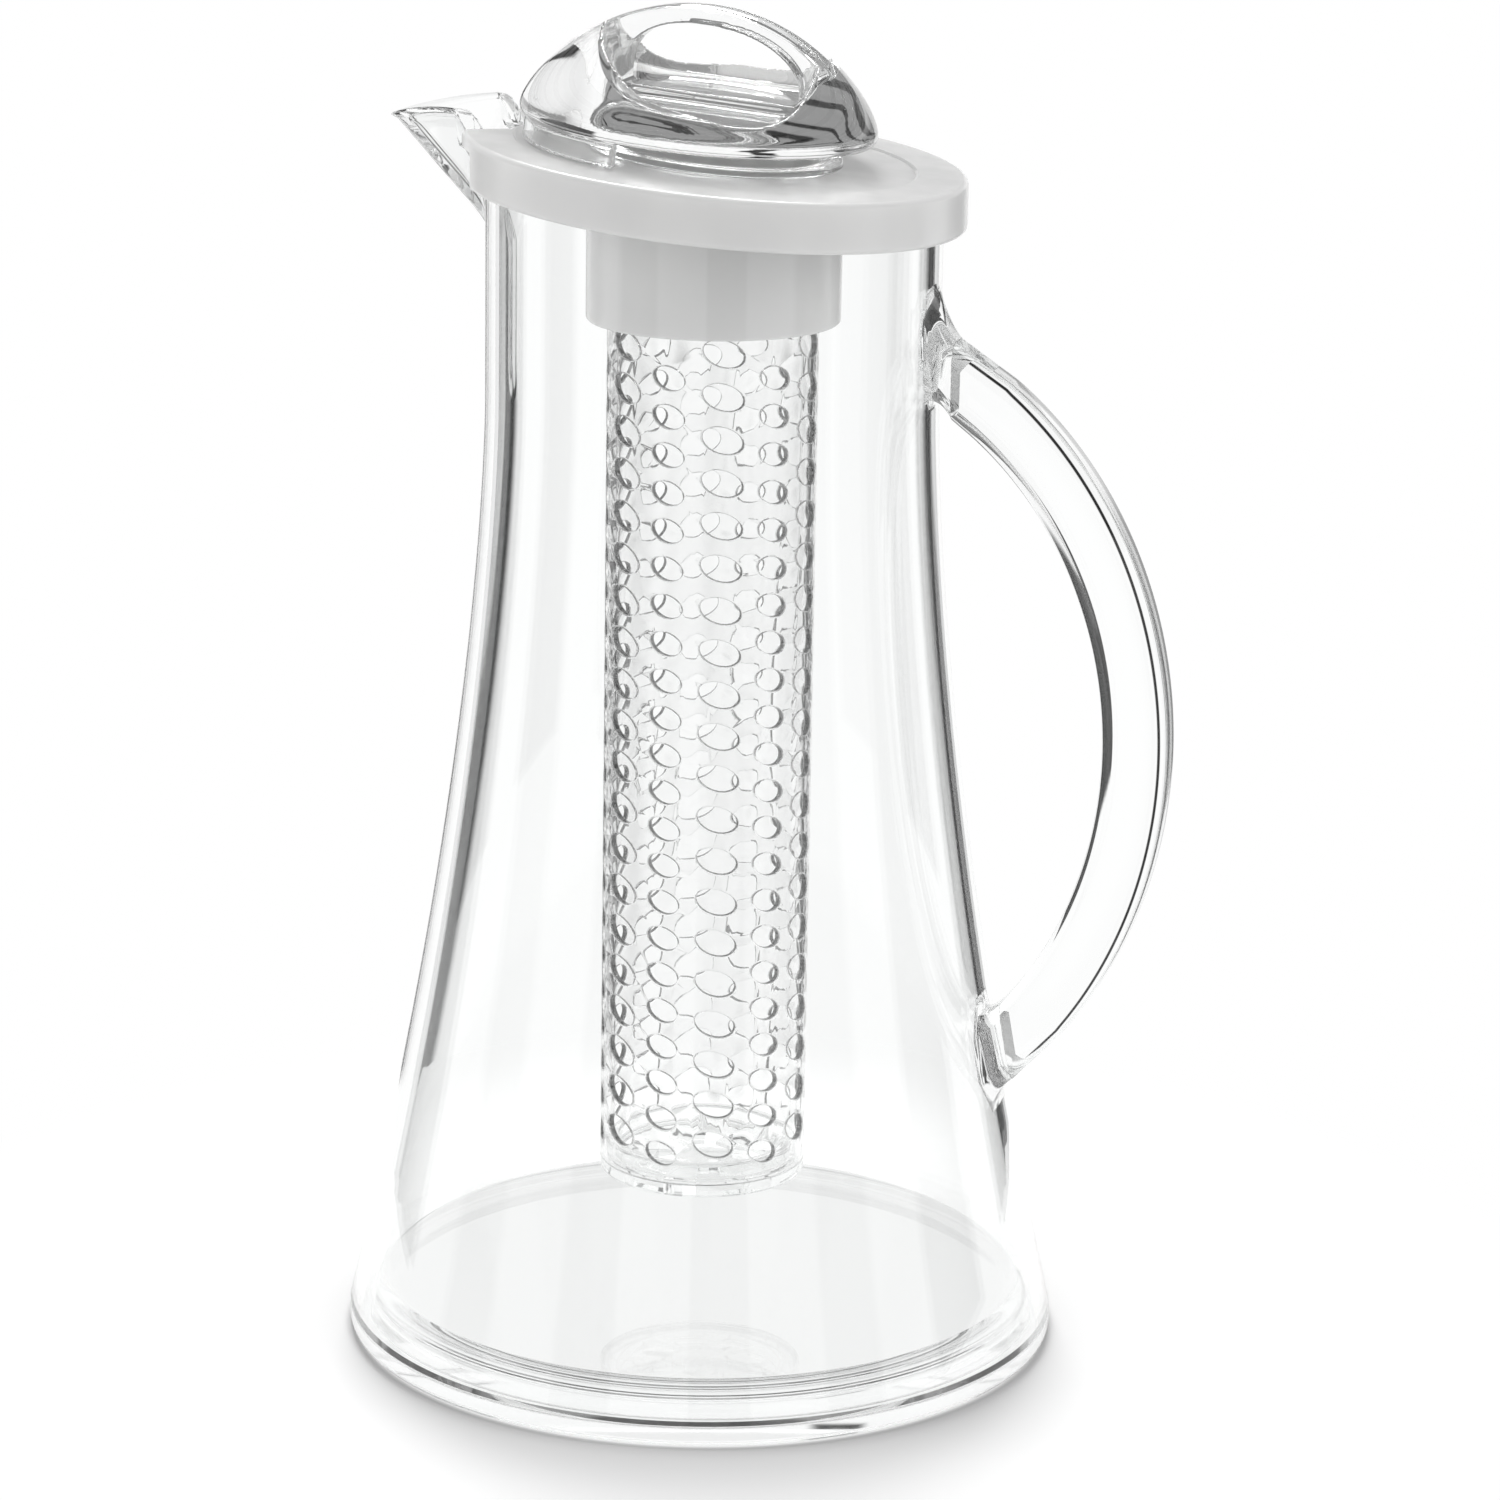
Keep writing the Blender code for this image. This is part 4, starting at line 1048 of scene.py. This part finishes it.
# Dark flags round the stage: direction and half width in degrees, and brightness
FLAGS = ((69.0, 13.0, 0.05), (120.5, 3.0, 0.0), (22.5, 13.0, 0.1), (157.5, 13.0, 0.1), (337.5, 10.0, 0.5),
         (292.5, 10.0, 0.5), (247.5, 10.0, 0.5), (202.5, 10.0, 0.5))
FLAG_EDGE = math.radians(1.0)
# Heights of a direction between which the flags end
FLAG_TOP_START, FLAG_TOP_END = 0.02, 0.12
# Lamps: name, place, width and height, watts, and whether clear and glossy pieces mirror them
LAMP_AIM = (0.0, 0.0, 0.05)
LAMPS = (("key_light", (-0.35, 1.0, 1.4), (0.7, 0.7), 19.0, True),
         ("left_fill", (-1.2, -0.7, 0.45), (1.0, 1.0), 7.5, False),
         ("right_fill", (1.3, -0.3, 0.45), (1.0, 1.0), 7.0, False))
# Light stays long in the thick bosses, and a lower limit turns them black
LIGHT_BOUNCES = 160
CLEAR_LAYERS = 32
CAMERA_AZIMUTH = math.radians(16.0)
CAMERA_DISTANCE = 1.1201
CAMERA_HEIGHT = 0.4422
CAMERA_PITCH = math.radians(15.190)
CAMERA_ROLL = math.radians(0.920)
CAMERA_YAW = math.radians(0.500)
# Focal length in widths of the picture
FOCAL_SHARE = 5048.9 / 1500.0


def make_floor():
    """White ground that takes the shadow round the pitcher and glows below it and far from it."""
    radius, steps = BASE_RADIUS * FLOOR_REACH, 96
    bm = bmesh.new()
    centre = bm.verts.new((0.0, 0.0, 0.0))
    ring = [bm.verts.new((radius * math.cos(2.0 * math.pi * i / steps),
                          radius * math.sin(2.0 * math.pi * i / steps), 0.0)) for i in range(steps)]
    for i in range(steps):
        bm.faces.new((centre, ring[i], ring[(i + 1) % steps]))
    floor = mesh_object("floor", bm)
    floor.location.z = -FLOOR_DROP
    material = bpy.data.materials.new("floor_white")
    material.use_nodes = True
    tree = material.node_tree
    tree.nodes.remove(tree.nodes["Principled BSDF"])
    diffuse = tree.nodes.new("ShaderNodeBsdfDiffuse")
    diffuse.inputs["Color"].default_value = FLOOR_WHITE
    glow = tree.nodes.new("ShaderNodeEmission")
    place = tree.nodes.new("ShaderNodeTexCoord")
    length = tree.nodes.new("ShaderNodeVectorMath")
    length.operation = "LENGTH"
    link(tree, place.outputs["Object"], length.inputs[0])
    away = length.outputs["Value"]
    outside = smooth_step(tree, away, BASE_RADIUS * FADE_START, BASE_RADIUS * FADE_END, 0.0, 1.0)
    inside = smooth_step(tree, away, BASE_RADIUS * GLOW_EDGE, BASE_RADIUS, 1.0, 0.0)
    fade = math_node(tree, "MAXIMUM", outside, inside)
    under = smooth_step(tree, away, BASE_RADIUS * GLOW_EDGE, BASE_RADIUS, GLOW_UNDER_BASE, 1.0)
    link(tree, under, glow.inputs["Strength"])
    path = tree.nodes.new("ShaderNodeLightPath")
    seen = math_node(tree, "SUBTRACT", 1.0, path.outputs["Is Diffuse Ray"])
    mix = tree.nodes.new("ShaderNodeMixShader")
    link(tree, math_node(tree, "MULTIPLY", fade, seen), mix.inputs["Fac"])
    link(tree, diffuse.outputs["BSDF"], mix.inputs[1])
    link(tree, glow.outputs["Emission"], mix.inputs[2])
    link(tree, mix.outputs["Shader"], tree.nodes["Material Output"].inputs["Surface"])
    floor.data.materials.append(material)


def add_hanging_ring(name, inner, outer, height, level):
    """Flat ring that only clear and glossy pieces see, and only from below."""
    steps = 64
    turns = [2.0 * math.pi * i / steps for i in range(steps)]
    bm = bmesh.new()
    near, far = [[bm.verts.new((radius * math.cos(turn), radius * math.sin(turn), height))
                  for turn in turns] for radius in (inner, outer)]
    for i in range(steps):
        j = (i + 1) % steps
        bm.faces.new((near[i], near[j], far[j], far[i]))
    ring = mesh_object(name, bm)
    if ring.data.polygons[0].normal.z > 0.0:
        ring.data.flip_normals()
    ring.visible_camera = False
    ring.visible_diffuse = False
    ring.visible_shadow = False
    material = bpy.data.materials.new(name)
    material.use_nodes = True
    tree = material.node_tree
    tree.nodes.remove(tree.nodes["Principled BSDF"])
    glow = tree.nodes.new("ShaderNodeEmission")
    glow.inputs["Strength"].default_value = level
    side = tree.nodes.new("ShaderNodeNewGeometry")
    mix = tree.nodes.new("ShaderNodeMixShader")
    link(tree, side.outputs["Backfacing"], mix.inputs["Fac"])
    link(tree, glow.outputs["Emission"], mix.inputs[1])
    link(tree, tree.nodes.new("ShaderNodeBsdfTransparent").outputs["BSDF"], mix.inputs[2])
    link(tree, mix.outputs["Shader"], tree.nodes["Material Output"].inputs["Surface"])
    ring.data.materials.append(material)


def add_softbox(name, place, size, power, mirrored):
    """Soft lamp, which clear and glossy pieces mirror or not."""
    data = bpy.data.lights.new(name, "AREA")
    data.shape = "RECTANGLE"
    data.size, data.size_y = size
    data.energy = power
    lamp = bpy.data.objects.new(name, data)
    lamp.location = place
    lamp.rotation_euler = (Vector(LAMP_AIM) - Vector(place)).to_track_quat("-Z", "Y").to_euler()
    lamp.visible_glossy = mirrored
    lamp.visible_transmission = mirrored
    bpy.context.scene.collection.objects.link(lamp)


def make_world():
    """White surround; clear and glossy pieces see dark flags in it that draw their edges.

    Diffuse surfaces get an even ambient light from it instead.
    """
    world = bpy.data.worlds.new("studio")
    bpy.context.scene.world = world
    world.use_nodes = True
    tree = world.node_tree
    back = tree.nodes["Background"]
    place = tree.nodes.new("ShaderNodeTexCoord")
    split = tree.nodes.new("ShaderNodeSeparateXYZ")
    link(tree, place.outputs["Generated"], split.inputs["Vector"])
    azimuth = math_node(tree, "ARCTAN2", split.outputs["Y"], split.outputs["X"])
    light = None
    for direction, half_width, level in FLAGS:
        turn = math_node(tree, "SUBTRACT", azimuth, math.radians(direction))
        off = math_node(tree, "ABSOLUTE", math_node(tree, "WRAP", turn, math.pi, -math.pi))
        edge = math.radians(half_width)
        flag = smooth_step(tree, off, edge - FLAG_EDGE, edge + FLAG_EDGE, level, 1.0)
        light = math_node(tree, "MULTIPLY", light, flag) if light else flag
    above = smooth_step(tree, split.outputs["Z"], FLAG_TOP_START, FLAG_TOP_END, 0.0, 1.0)
    light = math_node(tree, "MAXIMUM", light, above)
    path = tree.nodes.new("ShaderNodeLightPath")
    glass = tree.nodes.new("ShaderNodeMix")
    glass.data_type = "FLOAT"
    link(tree, path.outputs["Is Camera Ray"], glass.inputs["Factor"])
    link(tree, light, glass.inputs["A"])
    glass.inputs["B"].default_value = 1.0
    level = tree.nodes.new("ShaderNodeMix")
    level.data_type = "FLOAT"
    link(tree, path.outputs["Is Diffuse Ray"], level.inputs["Factor"])
    link(tree, glass.outputs["Result"], level.inputs["A"])
    level.inputs["B"].default_value = AMBIENT
    back.inputs["Color"].default_value = (1.0, 1.0, 1.0, 1.0)
    link(tree, level.outputs["Result"], back.inputs["Strength"])


def make_camera():
    """Camera at the photograph's viewing angle."""
    level = Vector((math.sin(CAMERA_YAW), math.cos(CAMERA_YAW), 0.0))
    right = Vector((math.cos(CAMERA_YAW), -math.sin(CAMERA_YAW), 0.0))
    ahead = level * math.cos(CAMERA_PITCH) - Vector((0.0, 0.0, math.sin(CAMERA_PITCH)))
    up = right.cross(ahead)
    across = right * math.cos(CAMERA_ROLL) + up * math.sin(CAMERA_ROLL)
    above = up * math.cos(CAMERA_ROLL) - right * math.sin(CAMERA_ROLL)
    turn = Matrix.Rotation(CAMERA_AZIMUTH, 3, "Z")
    axes = Matrix((turn @ across, turn @ above, turn @ -ahead)).transposed()
    data = bpy.data.cameras.new("camera")
    data.sensor_width = 36.0
    data.lens = FOCAL_SHARE * data.sensor_width
    data.clip_start = 0.01
    camera = bpy.data.objects.new("camera", data)
    place = turn @ Vector((0.0, -CAMERA_DISTANCE, CAMERA_HEIGHT))
    camera.matrix_world = Matrix.Translation(place) @ axes.to_4x4()
    bpy.context.scene.collection.objects.link(camera)
    bpy.context.scene.camera = camera


make_floor()
make_world()
for number, (inner, outer, level) in enumerate(HANGING_RINGS):
    height = HANGING_HEIGHT - number * HANGING_STEP
    add_hanging_ring("hanging_ring_%d" % number, inner, outer, height, level)
make_camera()
for lamp in LAMPS:
    add_softbox(*lamp)
bpy.context.scene.view_settings.view_transform = "Standard"
bpy.context.scene.cycles.max_bounces = LIGHT_BOUNCES
bpy.context.scene.cycles.transmission_bounces = LIGHT_BOUNCES
bpy.context.scene.cycles.glossy_bounces = LIGHT_BOUNCES
bpy.context.scene.cycles.transparent_max_bounces = CLEAR_LAYERS
